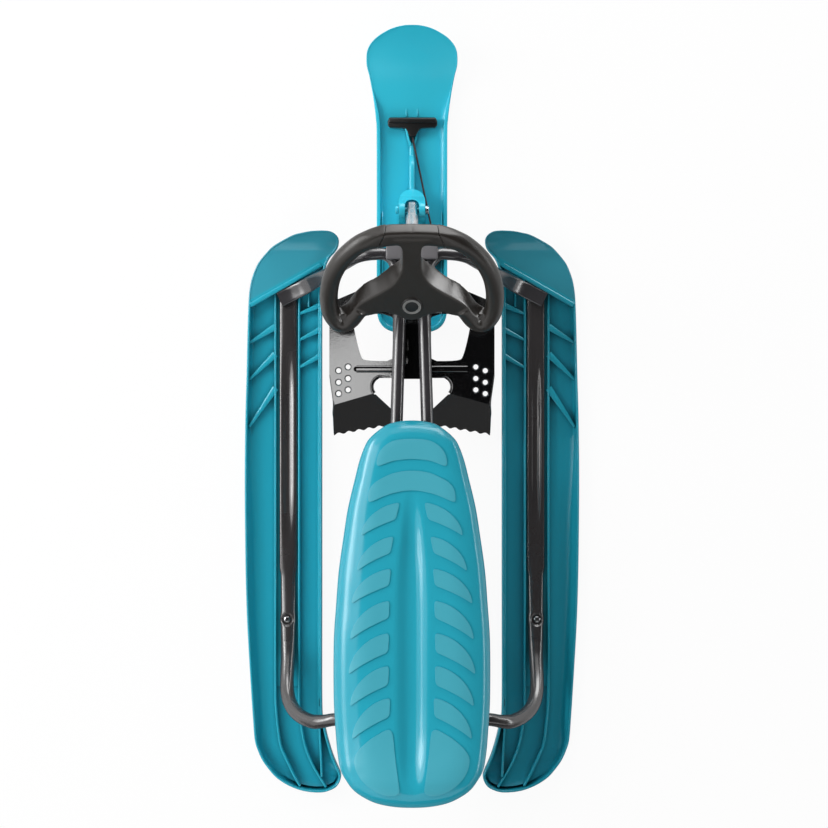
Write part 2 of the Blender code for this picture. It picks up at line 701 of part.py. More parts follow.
def add_rear_ski(side, plastic):
    """A moulded pan: rim, rail channel, cross ribs, slanting ridge and upturned nose."""
    name = side_name(side) + "_rear_ski"
    ski = rear_ski_blank(name, side, plastic)
    high = SKI_RIM_HEIGHT + 0.050
    cut(ski, prism(name + "_level", mirrored(level_outline(), side), SKI_RIB_HEIGHT, high))
    bm = bmesh.new()
    for cell in ski_cells():
        add_prism(bm, mirrored(cell, side), SKI_FLOOR, high)
    pockets = add_object(name + "_pockets", bm)
    front_floor = ski_bottom(ridge_y(INNER_WALL_X)) + SKI_FLOOR
    for vertex in pockets.data.vertices:
        in_front = vertex.co.y > INNER_CROSS_RIBS[0][0] and abs(vertex.co.x) < 0.180
        if in_front and vertex.co.z < SKI_RIM_HEIGHT:
            vertex.co.z = front_floor
    cut(ski, pockets)
    cut(ski, prism(name + "_channel", mirrored(channel_outline(), side), SKI_BED, high))
    x = RAIL_X * side
    cut(ski, rod(name + "_bolt_hole", (x, RAIL_BOLT_Y, 0.0035), (x, RAIL_BOLT_Y, SKI_BED + 0.01),
                 BOLT_RADIUS + GAP, sides=12))
    cut(ski, rod(name + "_screw_hole", (x, RAIL_SCREW_Y, -0.01), (x, RAIL_SCREW_Y, SKI_BED + 0.01),
                 BOLT_RADIUS + GAP, sides=12))
    cut(ski, rod(name + "_screw_seat", (x, RAIL_SCREW_Y, -0.01),
                 (x, RAIL_SCREW_Y, BOLT_HEAD_HEIGHT + 0.001), BOLT_HEAD_RADIUS + GAP, sides=16))
    return ski


def add_rail_bolt(side, steel):
    """A bolt through the flattened rail into the ski's bed."""
    profile = [(0.0, 0.0), (0.0, BOLT_HEAD_RADIUS * 0.7), (0.0012, BOLT_HEAD_RADIUS),
               (BOLT_HEAD_HEIGHT, BOLT_HEAD_RADIUS), (BOLT_HEAD_HEIGHT, BOLT_RADIUS)]
    top = rail_top() + GAP + BOLT_HEAD_HEIGHT
    tip = top - 0.0040
    profile += [(tip, BOLT_RADIUS), (tip, 0.0)]
    start = (RAIL_X * side, RAIL_BOLT_Y, top)
    return turned(side_name(side) + "_rail_bolt", start, (0, 0, -1), profile, steel, 16)


def add_front_screw(side, steel):
    """A screw up through the ski's running surface into the rail."""
    low = 0.0008
    tip = rail_top() - 0.0042 - low
    profile = [(0.0, 0.0), (0.0, BOLT_HEAD_RADIUS), (BOLT_HEAD_HEIGHT, BOLT_HEAD_RADIUS),
               (BOLT_HEAD_HEIGHT, BOLT_RADIUS), (tip, BOLT_RADIUS), (tip, 0.0)]
    start = (RAIL_X * side, RAIL_SCREW_Y, low)
    return turned(side_name(side) + "_front_screw", start, (0, 0, 1), profile, steel, 16)


def front_ski_bottom(y):
    run = max(y - FRONT_SKI_NOSE_START_Y, 0.0)
    return FRONT_SKI_NOSE_RADIUS - math.sqrt(FRONT_SKI_NOSE_RADIUS ** 2 - run ** 2)


def front_ski_deck(y):
    return front_ski_bottom(y) + KEEL_HEIGHT + FRONT_SKI_THICKNESS


def front_ski_rings():
    rings = []
    for y, half in FRONT_SKI_EDGE:
        low = front_ski_bottom(y)
        sole = low + KEEL_HEIGHT
        deck = front_ski_deck(y)
        fade = 1.0 - blend_value(y, FRONT_SKI_RIM_FADE[0], FRONT_SKI_RIM_FADE[1])
        rim = deck + 0.0015 + (FRONT_SKI_RIM_HEIGHT - 0.0015) * fade
        scale = min(1.0, half / 0.054)
        keel_in = (KEEL_X - KEEL_WIDTH / 2.0) * scale
        keel_out = (KEEL_X + KEEL_WIDTH / 2.0) * scale
        width = FRONT_SKI_RIM_WIDTH * scale
        right = [(keel_in - 0.001 * scale, sole), (keel_in, low), (keel_out, low),
                 (keel_out + 0.001 * scale, sole), (half - 0.002 * scale, sole),
                 (half, sole + 0.002), (half, rim), (half - width, rim),
                 (half - width - 0.001 * scale, deck)]
        left = [(-x, z) for x, z in reversed(right)]
        rings.append([Vector((x, y, z)) for x, z in right + left])
    return rings


def bracket_outline():
    half = BRACKET_HALF_WIDTH
    arc = arc_points((0.0, BRACKET_FRONT_Y - half), half, 0.0, 180.0, 10)
    return [(half, BRACKET_REAR_Y)] + arc + [(-half, BRACKET_REAR_Y)]


def bracket_slot_outline():
    half = BRACKET_SLOT
    arc = arc_points((0.0, BRACKET_SLOT_FRONT_Y - half), half, 0.0, 180.0, 8)
    return [(half, BRACKET_REAR_Y - 0.01)] + arc + [(-half, BRACKET_REAR_Y - 0.01)]


def bracket_side():
    """Side view of the bracket's cheeks as (y, z): round ears over the axle."""
    deck = FRONT_SKI_THICKNESS + KEEL_HEIGHT - 0.001
    ear = [(AXLE_Y + y, AXLE_Z + z) for y, z in
           arc_points((0.0, 0.0), BRACKET_EAR_RADIUS, 180.0, 20.0, 8)]
    return ([(BRACKET_REAR_Y, deck), (AXLE_Y - BRACKET_EAR_RADIUS, AXLE_Z - 0.020)] + ear
            + [(BRACKET_FRONT_Y - 0.012, BRACKET_NOSE_Z), (BRACKET_FRONT_Y + 0.001, 0.034),
               (BRACKET_FRONT_Y + 0.001, deck)])


def add_bracket():
    """The horseshoe that stands on the ski round the shaft's lower end."""
    deck = FRONT_SKI_THICKNESS + KEEL_HEIGHT - 0.001
    top = AXLE_Z + BRACKET_EAR_RADIUS + 0.002
    horseshoe = prism("ski_bracket", bracket_outline(), deck, top)
    bm = bmesh.new()
    wide = BRACKET_HALF_WIDTH + 0.005
    side = bracket_side()
    add_rings(bm, [[Vector((-wide, y, z)) for y, z in side],
                   [Vector((wide, y, z)) for y, z in side]])
    combine(horseshoe, add_object("ski_bracket_side", bm), "INTERSECT")
    slot = prism("ski_bracket_slot", bracket_slot_outline(), deck + 0.004, top + 0.01)
    cut(horseshoe, slot)
    return horseshoe


def fork_outline(side):
    """One prong of the dock that holds the handle's stem."""
    start = CORD_START[1]
    root = start - 0.0046
    front = HANDLE_BAR_Y - HANDLE_BAR_WIDTH / 2.0 - 0.0008
    inner = STEM_ROOT + 0.0018
    return mirrored([(0.0015, root - 0.004), (0.0036, root), (inner, front),
                     (inner + 0.0035, front), (0.0068, root), (0.0045, root - 0.008),
                     (0.0015, root - 0.008)], side)


def add_front_ski(plastic):
    """The steered ski: edge rims, keels, axle bracket, centre rib and handle dock."""
    ski = loft("front_ski", front_ski_rings(), plastic)
    join(ski, add_bracket())
    deck = FRONT_SKI_THICKNESS + KEEL_HEIGHT - 0.001
    under_cord = CORD_Z - CORD_RADIUS - 0.0015
    rib_low = prism("ski_rib_low", [(-0.0045, 0.3440), (0.0045, 0.3440), (0.0045, 0.4200),
                                    (-0.0045, 0.4200)], deck, under_cord)
    join(ski, rib_low)
    bm = bmesh.new()
    profile = [(0.3430, deck), (0.3430, 0.0330), (0.3800, 0.0330), (0.3985, under_cord - 0.0005),
               (0.3985, deck)]
    add_rings(bm, [[Vector((-0.0040, y, z)) for y, z in profile],
                   [Vector((0.0040, y, z)) for y, z in profile]])
    join(ski, add_object("ski_rib", bm))
    for side in (1, -1):
        height = CORD_Z + 0.0045 if side < 0 else under_cord
        join(ski, prism(f"dock_{side_name(side)}", fork_outline(side), deck, height))
        x = 0.0086 * side
        join(ski, prism(f"stop_{side_name(side)}", [(x - 0.0012, 0.4617), (x + 0.0012, 0.4617),
                                                    (x + 0.0012, 0.4742), (x - 0.0012, 0.4742)],
                        deck - 0.001, 0.0125))
    reach = BRACKET_HALF_WIDTH + 0.01
    cut(ski, rod("axle_hole", (-reach, AXLE_Y, AXLE_Z), (reach, AXLE_Y, AXLE_Z),
                 AXLE_RADIUS + RUNNING_GAP, sides=16))
    return ski


def axle_span():
    return BRACKET_HALF_WIDTH + GAP


def add_axle(steel):
    half = axle_span()
    profile = [(0.0, 0.0), (0.0, AXLE_HEAD_RADIUS * 0.8), (0.001, AXLE_HEAD_RADIUS),
               (AXLE_HEAD_LENGTH, AXLE_HEAD_RADIUS), (AXLE_HEAD_LENGTH, AXLE_RADIUS)]
    length = AXLE_HEAD_LENGTH + 2.0 * half + 0.0062
    profile += [(length, AXLE_RADIUS), (length, 0.0)]
    start = (-half - AXLE_HEAD_LENGTH, AXLE_Y, AXLE_Z)
    return turned("ski_axle", start, (1, 0, 0), profile, steel, 16)


def add_axle_nut(steel):
    half = axle_span()
    inner = AXLE_RADIUS + GAP
    profile = [(0.0, inner), (0.0, AXLE_HEAD_RADIUS), (0.0046, AXLE_HEAD_RADIUS), (0.0052, inner)]
    return turned("ski_axle_nut", (half, AXLE_Y, AXLE_Z), (1, 0, 0), profile, steel, 6 * 3)


def add_steering_column(steel, bush_plastic):
    axis = column_axis()
    top = WHEEL_AT + HUB_FRONT - CAP_HEIGHT - WHEEL_BOLT_HEAD - 0.002
    profile = [(-SHAFT_TIP, 0.0), (-SHAFT_TIP, SHAFT_RADIUS - 0.001),
               (-SHAFT_TIP + 0.001, SHAFT_RADIUS), (top, SHAFT_RADIUS),
               (top, WHEEL_BOLT_RADIUS + GAP), (top - 0.028, WHEEL_BOLT_RADIUS + GAP),
               (top - 0.028, 0.0)]
    shaft = turned("steering_shaft", column_point(0.0), axis, profile, steel, 20)
    hole = rod("shaft_axle_hole", (-0.02, AXLE_Y, AXLE_Z), (0.02, AXLE_Y, AXLE_Z),
               AXLE_RADIUS + RUNNING_GAP, sides=16)
    cut(shaft, hole)
    start = HEAD_TUBE_START
    end = HEAD_TUBE_END
    turned("head_tube", column_point(0.0), axis,
           [(start, HEAD_TUBE_BORE), (start, HEAD_TUBE_RADIUS), (end, HEAD_TUBE_RADIUS),
            (end, HEAD_TUBE_BORE)], steel, 20)
    running = SHAFT_RADIUS + RUNNING_GAP
    seat = HEAD_TUBE_BORE - GAP
    turned("lower_head_bush", column_point(0.0), axis,
           [(start - GAP - BUSH_FLANGE, running), (start - GAP - BUSH_FLANGE, HEAD_TUBE_RADIUS),
            (start - GAP, HEAD_TUBE_RADIUS), (start - GAP, seat), (start + BUSH_DEPTH, seat),
            (start + BUSH_DEPTH, running)], bush_plastic, 20)
    turned("upper_head_bush", column_point(0.0), axis,
           [(end - BUSH_DEPTH, running), (end - BUSH_DEPTH, seat), (end + GAP, seat),
            (end + GAP, HEAD_TUBE_RADIUS), (end + GAP + BUSH_FLANGE, HEAD_TUBE_RADIUS),
            (end + GAP + BUSH_FLANGE, running)], bush_plastic, 20)
    collar = start - BUSH_FLANGE - 2.0 * GAP - COLLAR_LENGTH
    turned("shaft_collar", column_point(0.0), axis,
           [(collar, SHAFT_RADIUS + GAP), (collar, HEAD_TUBE_RADIUS - 0.001),
            (collar + 0.001, HEAD_TUBE_RADIUS), (collar + COLLAR_LENGTH, HEAD_TUBE_RADIUS),
            (collar + COLLAR_LENGTH, SHAFT_RADIUS + GAP)], steel, 20)


def add_head_bracket(side, cast):
    """A block that ties the frame tube's bend to the head tube."""
    name = side_name(side) + "_head_bracket"
    x0, x1 = sorted((HEAD_BRACKET_X[0] * side, HEAD_BRACKET_X[1] * side))
    bracket = block(name, (x0, HEAD_BRACKET_Y[0], HEAD_BRACKET_Z[0]),
                    (x1, HEAD_BRACKET_Y[1], HEAD_BRACKET_Z[1]), cast, bevel=0.003)
    tube = sweep(name + "_tube_seat", frame_tube_path(side)[3:], TUBE_RADIUS + GAP,
                 first_side=(0.0, 1.0, 0.0))
    cut(bracket, tube)
    return bracket


def wheel_matrix():
    """Places (u, v, w) of the wheel's plane into the sled."""
    sine = math.sin(COLUMN_LEAN)
    cosine = math.cos(COLUMN_LEAN)
    rotation = Matrix(((1.0, 0.0, 0.0), (0.0, cosine, -sine), (0.0, sine, cosine))).to_4x4()
    return Matrix.Translation(column_point(WHEEL_AT)) @ rotation


def rim_half(side):
    return [Vector((p.x * side, p.y, 0.0)) for p in smooth_outline(RIM_PATH, 3)]


def cut_path(points, side, start_u, keep_outer):
    """The part of the rim's path on one side of a seam at u."""
    result = []
    for a, b in zip(points, points[1:]):
        ua = abs(a.x)
        ub = abs(b.x)
        if ua <= start_u < ub:
            seam = a.lerp(b, (start_u - ua) / (ub - ua))
            if keep_outer:
                result = [seam]
            else:
                return result + [a, seam] if not result or result[-1] != a else result + [seam]
        if not keep_outer:
            result.append(a)
        elif result:
            result.append(b)
    return result


def grip_section(total):
    """The grips swell a little between their ends."""
    def section(travelled):
        swell = math.sin(math.pi * min(max(travelled / total, 0.0), 1.0))
        radius = RIM_RADIUS + 0.0008 * swell
        end = total - travelled
        if end < 0.008:
            radius *= math.sqrt(max(1.0 - ((0.008 - end) / 0.009) ** 2, 0.05))
        return radius, radius, 2.0

    return section


def grip_path(side):
    points = cut_path(rim_half(side), side, SEAM_U + GAP / 2.0, True)
    last = points[-1]
    before = (points[-1] - points[-2]).normalized()
    return points + [last + before * 0.004, last + before * 0.007]


def add_grip(side, rubber):
    points = grip_path(side)
    total = sum((b - a).length for a, b in zip(points, points[1:]))
    rings = section_rings(points, grip_section(total), TUBE_SIDES, (0.0, 0.0, 1.0))
    grip = loft(side_name(side) + "_grip", rings, rubber)
    grip.data.transform(wheel_matrix())
    return grip


def grip_socket(side):
    """The grip's shape with clearance, cut from the spoke that meets it."""
    points = grip_path(side)
    points = points + [points[-1] + (points[-1] - points[-2]).normalized() * 0.02]
    rings = section_rings(points, lambda travelled: (RIM_RADIUS + 0.0008 + GAP,) * 2 + (2.0,),
                          TUBE_SIDES, (0.0, 0.0, 1.0))
    socket = loft(side_name(side) + "_grip_socket", rings)
    socket.data.transform(wheel_matrix())
    return socket


def add_wheel(plastic, rubber, cap_plastic, steel):
    """Wheel centre with hub and spokes, the top of the rim, two grips, cap and bolt."""
    outline = [(p.x, p.y) for p in smooth_outline(SPOKE_OUTLINE[2:], 2)]
    outline = SPOKE_OUTLINE[:2] + outline
    outline = outline + [(-x, y) for x, y in reversed(outline[1:-1])]
    bm = bmesh.new()
    add_prism(bm, outline, -SPOKE_THICKNESS / 2.0, SPOKE_THICKNESS / 2.0)
    rims = [e for e in bm.edges if abs(e.verts[0].co.z - e.verts[1].co.z) < 1e-6]
    bmesh.ops.bevel(bm, geom=rims, offset=SPOKE_BEVEL, segments=2, profile=0.5,
                    affect="EDGES", clamp_overlap=True)
    centre = add_object("wheel_centre", bm, plastic)
    centre.data.transform(wheel_matrix())
    left = cut_path(rim_half(-1), -1, SEAM_U - GAP / 2.0, False)
    right = cut_path(rim_half(1), 1, SEAM_U - GAP / 2.0, False)
    arch = [p for p in reversed(left)] + right[1:]
    rings = section_rings(arch, lambda travelled: (RIM_RADIUS, RIM_RADIUS, 2.0), TUBE_SIDES,
                          (0.0, 0.0, 1.0))
    top = loft("wheel_top_rim", rings)
    top.data.transform(wheel_matrix())
    join(centre, top)
    axis = column_axis()
    hub = turned("wheel_hub", column_point(WHEEL_AT), axis,
                 [(-HUB_BACK, 0.0), (-HUB_BACK, HUB_RADIUS - 0.006), (-HUB_BACK + 0.002, HUB_RADIUS - 0.004),
                  (-0.010, HUB_RADIUS), (HUB_FRONT - 0.003, HUB_RADIUS),
                  (HUB_FRONT, HUB_RADIUS - 0.003), (HUB_FRONT, 0.0)], None, 28)
    join(centre, hub)
    for side in (1, -1):
        cut(centre, grip_socket(side))
    top_of_shaft = WHEEL_AT + HUB_FRONT - CAP_HEIGHT - WHEEL_BOLT_HEAD - 0.002
    recess = WHEEL_AT + HUB_FRONT - CAP_HEIGHT
    bore = turned("hub_bore", column_point(0.0), axis,
                  [(WHEEL_AT - HUB_BACK - 0.01, 0.0),
                   (WHEEL_AT - HUB_BACK - 0.01, SHAFT_RADIUS + GAP),
                   (top_of_shaft + GAP, SHAFT_RADIUS + GAP),
                   (top_of_shaft + GAP, WHEEL_BOLT_HEAD_RADIUS + 0.001),
                   (recess, WHEEL_BOLT_HEAD_RADIUS + 0.001), (recess, CAP_RADIUS + GAP),
                   (WHEEL_AT + HUB_FRONT + 0.01, CAP_RADIUS + GAP),
                   (WHEEL_AT + HUB_FRONT + 0.01, 0.0)], None, 28)
    cut(centre, bore)
    for side in (1, -1):
        add_grip(side, rubber)
    turned("hub_cap", column_point(0.0), axis,
           [(recess + GAP, 0.0), (recess + GAP, CAP_RADIUS),
            (recess + CAP_HEIGHT - 0.001, CAP_RADIUS), (recess + CAP_HEIGHT, CAP_RADIUS - 0.0012),
            (recess + CAP_HEIGHT + 0.0008, CAP_RADIUS * 0.5),
            (recess + CAP_HEIGHT + 0.0010, 0.0)], cap_plastic, 28)
    seat = top_of_shaft + GAP
    turned("wheel_bolt", column_point(0.0), axis,
           [(seat - 0.026, 0.0), (seat - 0.026, WHEEL_BOLT_RADIUS), (seat, WHEEL_BOLT_RADIUS),
            (seat, WHEEL_BOLT_HEAD_RADIUS), (seat + WHEEL_BOLT_HEAD, WHEEL_BOLT_HEAD_RADIUS),
            (seat + WHEEL_BOLT_HEAD, 0.0)], steel, 18)


def centre_plate_top():
    """The plate hangs under the centre tubes at its rear edge."""
    return centre_tube_z(CENTRE_PLATE_Y[1]) - TUBE_RADIUS - GAP


def add_centre_plate(steel):
    """Black plate under the centre tubes, whose two ears carry the brake's pivot."""
    top = centre_plate_top()
    low = top - CENTRE_PLATE_THICKNESS
    half = CENTRE_PLATE_HALF_WIDTH
    plate = block("centre_plate", (-half, CENTRE_PLATE_Y[0], low), (half, CENTRE_PLATE_Y[1], top),
                  steel)
    pivot_z = brake_pivot_z()
    for side in (1, -1):
        x0, x1 = sorted((half * side, (half - EAR_THICKNESS) * side))
        ear = [(BRAKE_PIVOT_Y + y, pivot_z + z) for y, z in
               arc_points((0.0, 0.0), EAR_RADIUS, 180.0, 360.0, 8)]
        ear += [(BRAKE_PIVOT_Y + EAR_RADIUS, low + 0.001), (BRAKE_PIVOT_Y - EAR_RADIUS, low + 0.001)]
        bm = bmesh.new()
        add_rings(bm, [[Vector((x0, y, z)) for y, z in ear], [Vector((x1, y, z)) for y, z in ear]])
        join(plate, add_object(f"ear_{side_name(side)}", bm))
    cut(plate, rod("ear_holes", (-half - 0.01, BRAKE_PIVOT_Y, pivot_z),
                   (half + 0.01, BRAKE_PIVOT_Y, pivot_z), PIVOT_RADIUS + GAP, sides=16))
    x, y = PLATE_HOLE
    long_hole = arc_points((x, y + PLATE_HOLE_REACH), PLATE_HOLE_RADIUS, 0.0, 180.0, 6)
    long_hole += arc_points((x, y - PLATE_HOLE_REACH), PLATE_HOLE_RADIUS, 180.0, 360.0, 6)
    cut(plate, prism("plate_hole", long_hole, low - 0.01, top + 0.01))
    x, y = PLATE_SLOT
    across, along = PLATE_SLOT_HALF
    cut(plate, block("plate_slot", (x - across, y - along, low - 0.01),
                     (x + across, y + along, top + 0.01)))
    half_notch, notch_y = PLATE_NOTCH
    cut(plate, block("plate_notch", (-half_notch, notch_y, low - 0.01),
                     (half_notch, CENTRE_PLATE_Y[1] + 0.01, top + 0.01)))
    return plate


def brake_pivot_z():
    return BRAKE_Z + BRAKE_SHEET / 2.0 + SPRING_RADIUS + SPRING_WIRE + GAP


def blade_points():
    """The toothed blade: plan points laid on the plane that hangs from the bend line."""
    a = Vector(BRAKE_OUTLINE[5])
    b = Vector(BRAKE_OUTLINE[6])
    along = (b - a).normalized()
    rearward = Vector((along.y, -along.x))
    if rearward.y > 0.0:
        rearward = -rearward

    def place(x, y):
        drop = max((Vector((x, y)) - a).dot(rearward), 0.0) * math.tan(BLADE_ANGLE)
        return Vector((x, y, BRAKE_Z - drop))

    inner_top, inner_low, outer_low = BLADE_PLAN
    points = [place(*inner_top), place(*inner_low)]
    teeth = BLADE_TEETH * 2
    down = place(*inner_low) - place(*inner_top)
    down = Vector((rearward.x, rearward.y, -math.tan(BLADE_ANGLE))).normalized()
    for i in range(1, teeth):
        point = place(*inner_low).lerp(place(*outer_low), i / teeth)
        if i % 2:
            point -= down * TOOTH_DEPTH
        points.append(point)
    points.append(place(*outer_low))
    return points


def notch_points():
    start = math.degrees(math.atan2(BRAKE_OUTLINE[7][1] - NOTCH_CENTRE[1],
                                    BRAKE_OUTLINE[7][0] - NOTCH_CENTRE[0]))
    return arc_points(NOTCH_CENTRE, NOTCH_RADIUS, start, 90.0, 7)


def add_brake_plate(steel):
    """Stamped foot plate: windows, holes, bead, bent blades with teeth, rolled pivot."""
    bm = bmesh.new()
    flat = BRAKE_OUTLINE[:7] + notch_points()
    flat += [(0.0, CROSSBAR_REAR_Y)]
    arc_end = flat[-2]
    flat[-2] = (arc_end[0], CROSSBAR_REAR_Y)
    full = flat + [(-x, y) for x, y in reversed(flat[1:-1])]
    vertices = [bm.verts.new((x, y, BRAKE_Z)) for x, y in full]
    bm.faces.new(vertices)
    count = len(full)
    for side in (1, -1):
        if side > 0:
            corner, bend, notch = vertices[5], vertices[6], vertices[7]
        else:
            corner, bend, notch = vertices[count - 5], vertices[count - 6], vertices[count - 7]
        blade = [bm.verts.new((p.x * side, p.y, p.z)) for p in blade_points()]
        bm.faces.new([corner, bend, notch] + blade)
    bmesh.ops.recalc_face_normals(bm, faces=bm.faces)
    mesh = bpy.data.meshes.new("brake_plate")
    bm.to_mesh(mesh)
    bm.free()
    plate = bpy.data.objects.new("brake_plate", mesh)
    bpy.context.scene.collection.objects.link(plate)
    mesh.materials.append(steel)
    solid = plate.modifiers.new("sheet", "SOLIDIFY")
    solid.thickness = BRAKE_SHEET
    solid.offset = 0.0
    solid.use_even_offset = True
    bm = bmesh.new()
    low = BRAKE_Z - 0.01
    high = BRAKE_Z + 0.01
    for side in (1, -1):
        add_prism(bm, mirrored(BRAKE_WINDOW, side), low, high)
        for hole in BRAKE_HOLES:
            centre = (hole[0] * side, hole[1])
            add_prism(bm, arc_points(centre, BRAKE_HOLE_RADIUS, 0.0, 330.0, 11), low, high)
    cut(plate, add_object("brake_cutouts", bm))
    z = brake_pivot_z()
    roll = turned("brake_roll", (-ROLL_HALF_LENGTH, BRAKE_PIVOT_Y, z), (1, 0, 0),
                  [(0.0, PIVOT_RADIUS + RUNNING_GAP), (0.0, ROLL_RADIUS),
                   (2.0 * ROLL_HALF_LENGTH, ROLL_RADIUS),
                   (2.0 * ROLL_HALF_LENGTH, PIVOT_RADIUS + RUNNING_GAP)], None, 16)
    join(plate, roll)
    bead = block("brake_bead", (-BEAD_END_X, BEAD_Y - BEAD_RADIUS, BRAKE_Z),
                 (BEAD_END_X, BEAD_Y + BEAD_RADIUS, BRAKE_Z + BRAKE_SHEET / 2.0 + 0.0025),
                 None, bevel=0.0012)
    join(plate, bead)
    return plate


def add_pivot_rod(steel):
    reach = CENTRE_PLATE_HALF_WIDTH + 0.018
    z = brake_pivot_z()
    return rod("brake_pivot_rod", (-reach, BRAKE_PIVOT_Y, z), (reach, BRAKE_PIVOT_Y, z),
               PIVOT_RADIUS, steel, 16)


def spring_points():
    """Coils round the pivot rod: one leg hooks before the ear, one lies on the plate."""
    x0 = CENTRE_PLATE_HALF_WIDTH + 0.0022
    z = brake_pivot_z()
    turns = SPRING_TURNS + 0.5
    steps = round(turns * SPRING_STEPS)
    points = []
    for i in range(steps + 1):
        turn = turns * i / steps
        angle = math.radians(90.0) + math.tau * turn
        points.append(Vector((x0 + SPRING_PITCH * turn,
                              BRAKE_PIVOT_Y + SPRING_RADIUS * math.cos(angle),
                              z + SPRING_RADIUS * math.sin(angle))))
    hook = EAR_RADIUS + SPRING_WIRE + 0.0008
    first = points[0]
    hooked = [first + Vector((-0.0080, hook, 0.0)), first + Vector((-0.0016, hook, 0.0)),
              first + Vector((0.0, hook - 0.0016, 0.0)), first + Vector((0.0, hook / 2.0, 0.0))]
    resting = [points[-1] + Vector((0.0, reach, 0.0)) for reach in (0.006, 0.012)]
    return hooked + points + resting


def least_gap(points, radius, skip):
    """The least gap of a round wire to itself, measured on its points."""
    least = min((a - b).length for i, a in enumerate(points) for b in points[i + skip:])
    return least - 2.0 * radius


def add_brake_spring(steel):
    curve = bpy.data.curves.new("brake_spring", "CURVE")
    curve.dimensions = "3D"
    curve.bevel_depth = SPRING_WIRE
    curve.bevel_resolution = 1
    curve.use_fill_caps = True
    spline = curve.splines.new("POLY")
    points = spring_points()
    gap = least_gap(points, SPRING_WIRE, SPRING_STEPS // 2)
    print(f"brake_spring: least gap between turns {gap * 1000.0:.2f} mm")
    spline.points.add(len(points) - 1)
    for target, point in zip(spline.points, points):
        target.co = (point.x, point.y, point.z, 1.0)
    spring = bpy.data.objects.new("brake_spring", curve)
    bpy.context.scene.collection.objects.link(spring)
    curve.materials.append(steel)
    return spring


def seat_profile(share, y):
    """Drop of the seat's top at a share of its half width."""
    drop = table_value(SEAT_PROFILE, share)
    fade = blend_value(y, SEAT_CHANNEL_FADE[0], SEAT_CHANNEL_FADE[1])
    fade *= 1.0 - blend_value(y, SEAT_REAR_FADE[0], SEAT_REAR_FADE[1])
    if share < 0.30:
        drop *= fade
    return drop


def seat_height(y):
    return table_value([(row[0], row[2]) for row in reversed(SEAT_STATIONS)], y)


def saddle_rings(y, half):
    """A saddle's cross section, from the tubes up into the shell's wall."""
    low = centre_tube_z(y) + TUBE_RADIUS + GAP + 0.0006
    width = table_value([(row[0], row[1]) for row in reversed(SEAT_STATIONS)], y)
    shares = [share for share, _ in SEAT_PROFILE if share * width < half - 0.002]
    shares.append(half / width)
    right = [(share * width, seat_height(y) - seat_profile(share, y) - SEAT_WALL / 2.0)
             for share in shares]
    left = [(-x, z) for x, z in reversed(right[1:])]
    line = [(half, low), (-half, low)] + left + right
    return [[Vector((x, y + reach, z)) for x, z in line]
            for reach in (-SADDLE_LENGTH / 2.0, SADDLE_LENGTH / 2.0)]


def seat_ring(y, half, top):
    """A closed cross section of the shell: over the top, round the skirt and back inside."""
    end = min(abs(y - SEAT_STATIONS[0][0]), abs(y - SEAT_STATIONS[-1][0]))
    skirt = 0.25 + 0.75 * blend_value(end, 0.0, 0.045)
    over = [(share * half, top - seat_profile(share, y) * skirt) for share, _ in SEAT_PROFILE]
    edge = over[-1][1]
    under = [(share * (half - SEAT_WALL), max(edge, over[i][1] - SEAT_WALL))
             for i, (share, _) in enumerate(SEAT_PROFILE)]
    line = ([(-x, z) for x, z in reversed(over[1:])] + over
            + list(reversed(under[1:])) + [(-x, z) for x, z in under])
    return [Vector((x, y, z)) for x, z in line]


def add_seat(plastic):
    """A moulded shell with a centre channel, carried by two saddles on the tubes."""
    rings = [seat_ring(y, half, top) for y, half, top in SEAT_STATIONS]
    seat = loft("seat", rings, plastic)
    for index, (y, half) in enumerate(SEAT_SADDLES):
        saddle = loft(f"saddle_{index}", saddle_rings(y, half))
        boss_low = centre_tube_z(y) - TUBE_RADIUS
        boss_high = seat_height(y) - seat_profile(0.0, y) - SEAT_WALL / 2.0
        hole = SEAT_SCREW_RADIUS + GAP
        boss = turned(f"boss_{index}", (0.0, y, boss_low), (0, 0, 1),
                      [(0.0, hole), (0.0, BOSS_RADIUS), (boss_high - boss_low, BOSS_RADIUS),
                       (boss_high - boss_low, 0.0), (BOSS_HOLE_DEPTH, 0.0),
                       (BOSS_HOLE_DEPTH, hole)], None, 16)
        join(seat, saddle)
        join(seat, boss)
    return seat


def add_seat_clamp(name, y, steel):
    """A strap under both centre tubes, drawn up by one screw into the seat."""
    top = centre_tube_z(y) - TUBE_RADIUS - GAP - 0.0004
    low = top - CLAMP_THICKNESS
    half = centre_tube_x(y) + TUBE_RADIUS + 0.004
    clamp = block(name, (-half, y - CLAMP_LENGTH / 2.0, low), (half, y + CLAMP_LENGTH / 2.0, top),
                  steel)
    cut(clamp, rod(name + "_hole", (0.0, y, low - 0.01), (0.0, y, top + 0.01),
                   SEAT_SCREW_RADIUS + GAP, sides=12))
    for side in (1, -1):
        x0, x1 = sorted((half * side, (half - 0.0025) * side))
        lip = block(f"{name}_lip_{side_name(side)}", (x0, y - CLAMP_LENGTH / 2.0, low),
                    (x1, y + CLAMP_LENGTH / 2.0, top + 0.010))
        join(clamp, lip)
    return clamp


def add_seat_screw(name, y, steel):
    low = centre_tube_z(y) - TUBE_RADIUS - GAP - 0.0004 - CLAMP_THICKNESS - GAP - 0.003
    profile = [(0.0, 0.0), (0.0, SEAT_SCREW_HEAD * 0.8), (0.001, SEAT_SCREW_HEAD),
               (0.003, SEAT_SCREW_HEAD), (0.003, SEAT_SCREW_RADIUS), (0.022, SEAT_SCREW_RADIUS),
               (0.022, 0.0)]
    return turned(name, (0.0, y, low), (0, 0, 1), profile, steel, 16)


def cord_direction():
    """Unit plan direction of the taut cord, from the reel to the handle."""
    return Vector((CORD_START[0] - CORD_TURN[0], CORD_START[1] - CORD_TURN[1])).normalized()


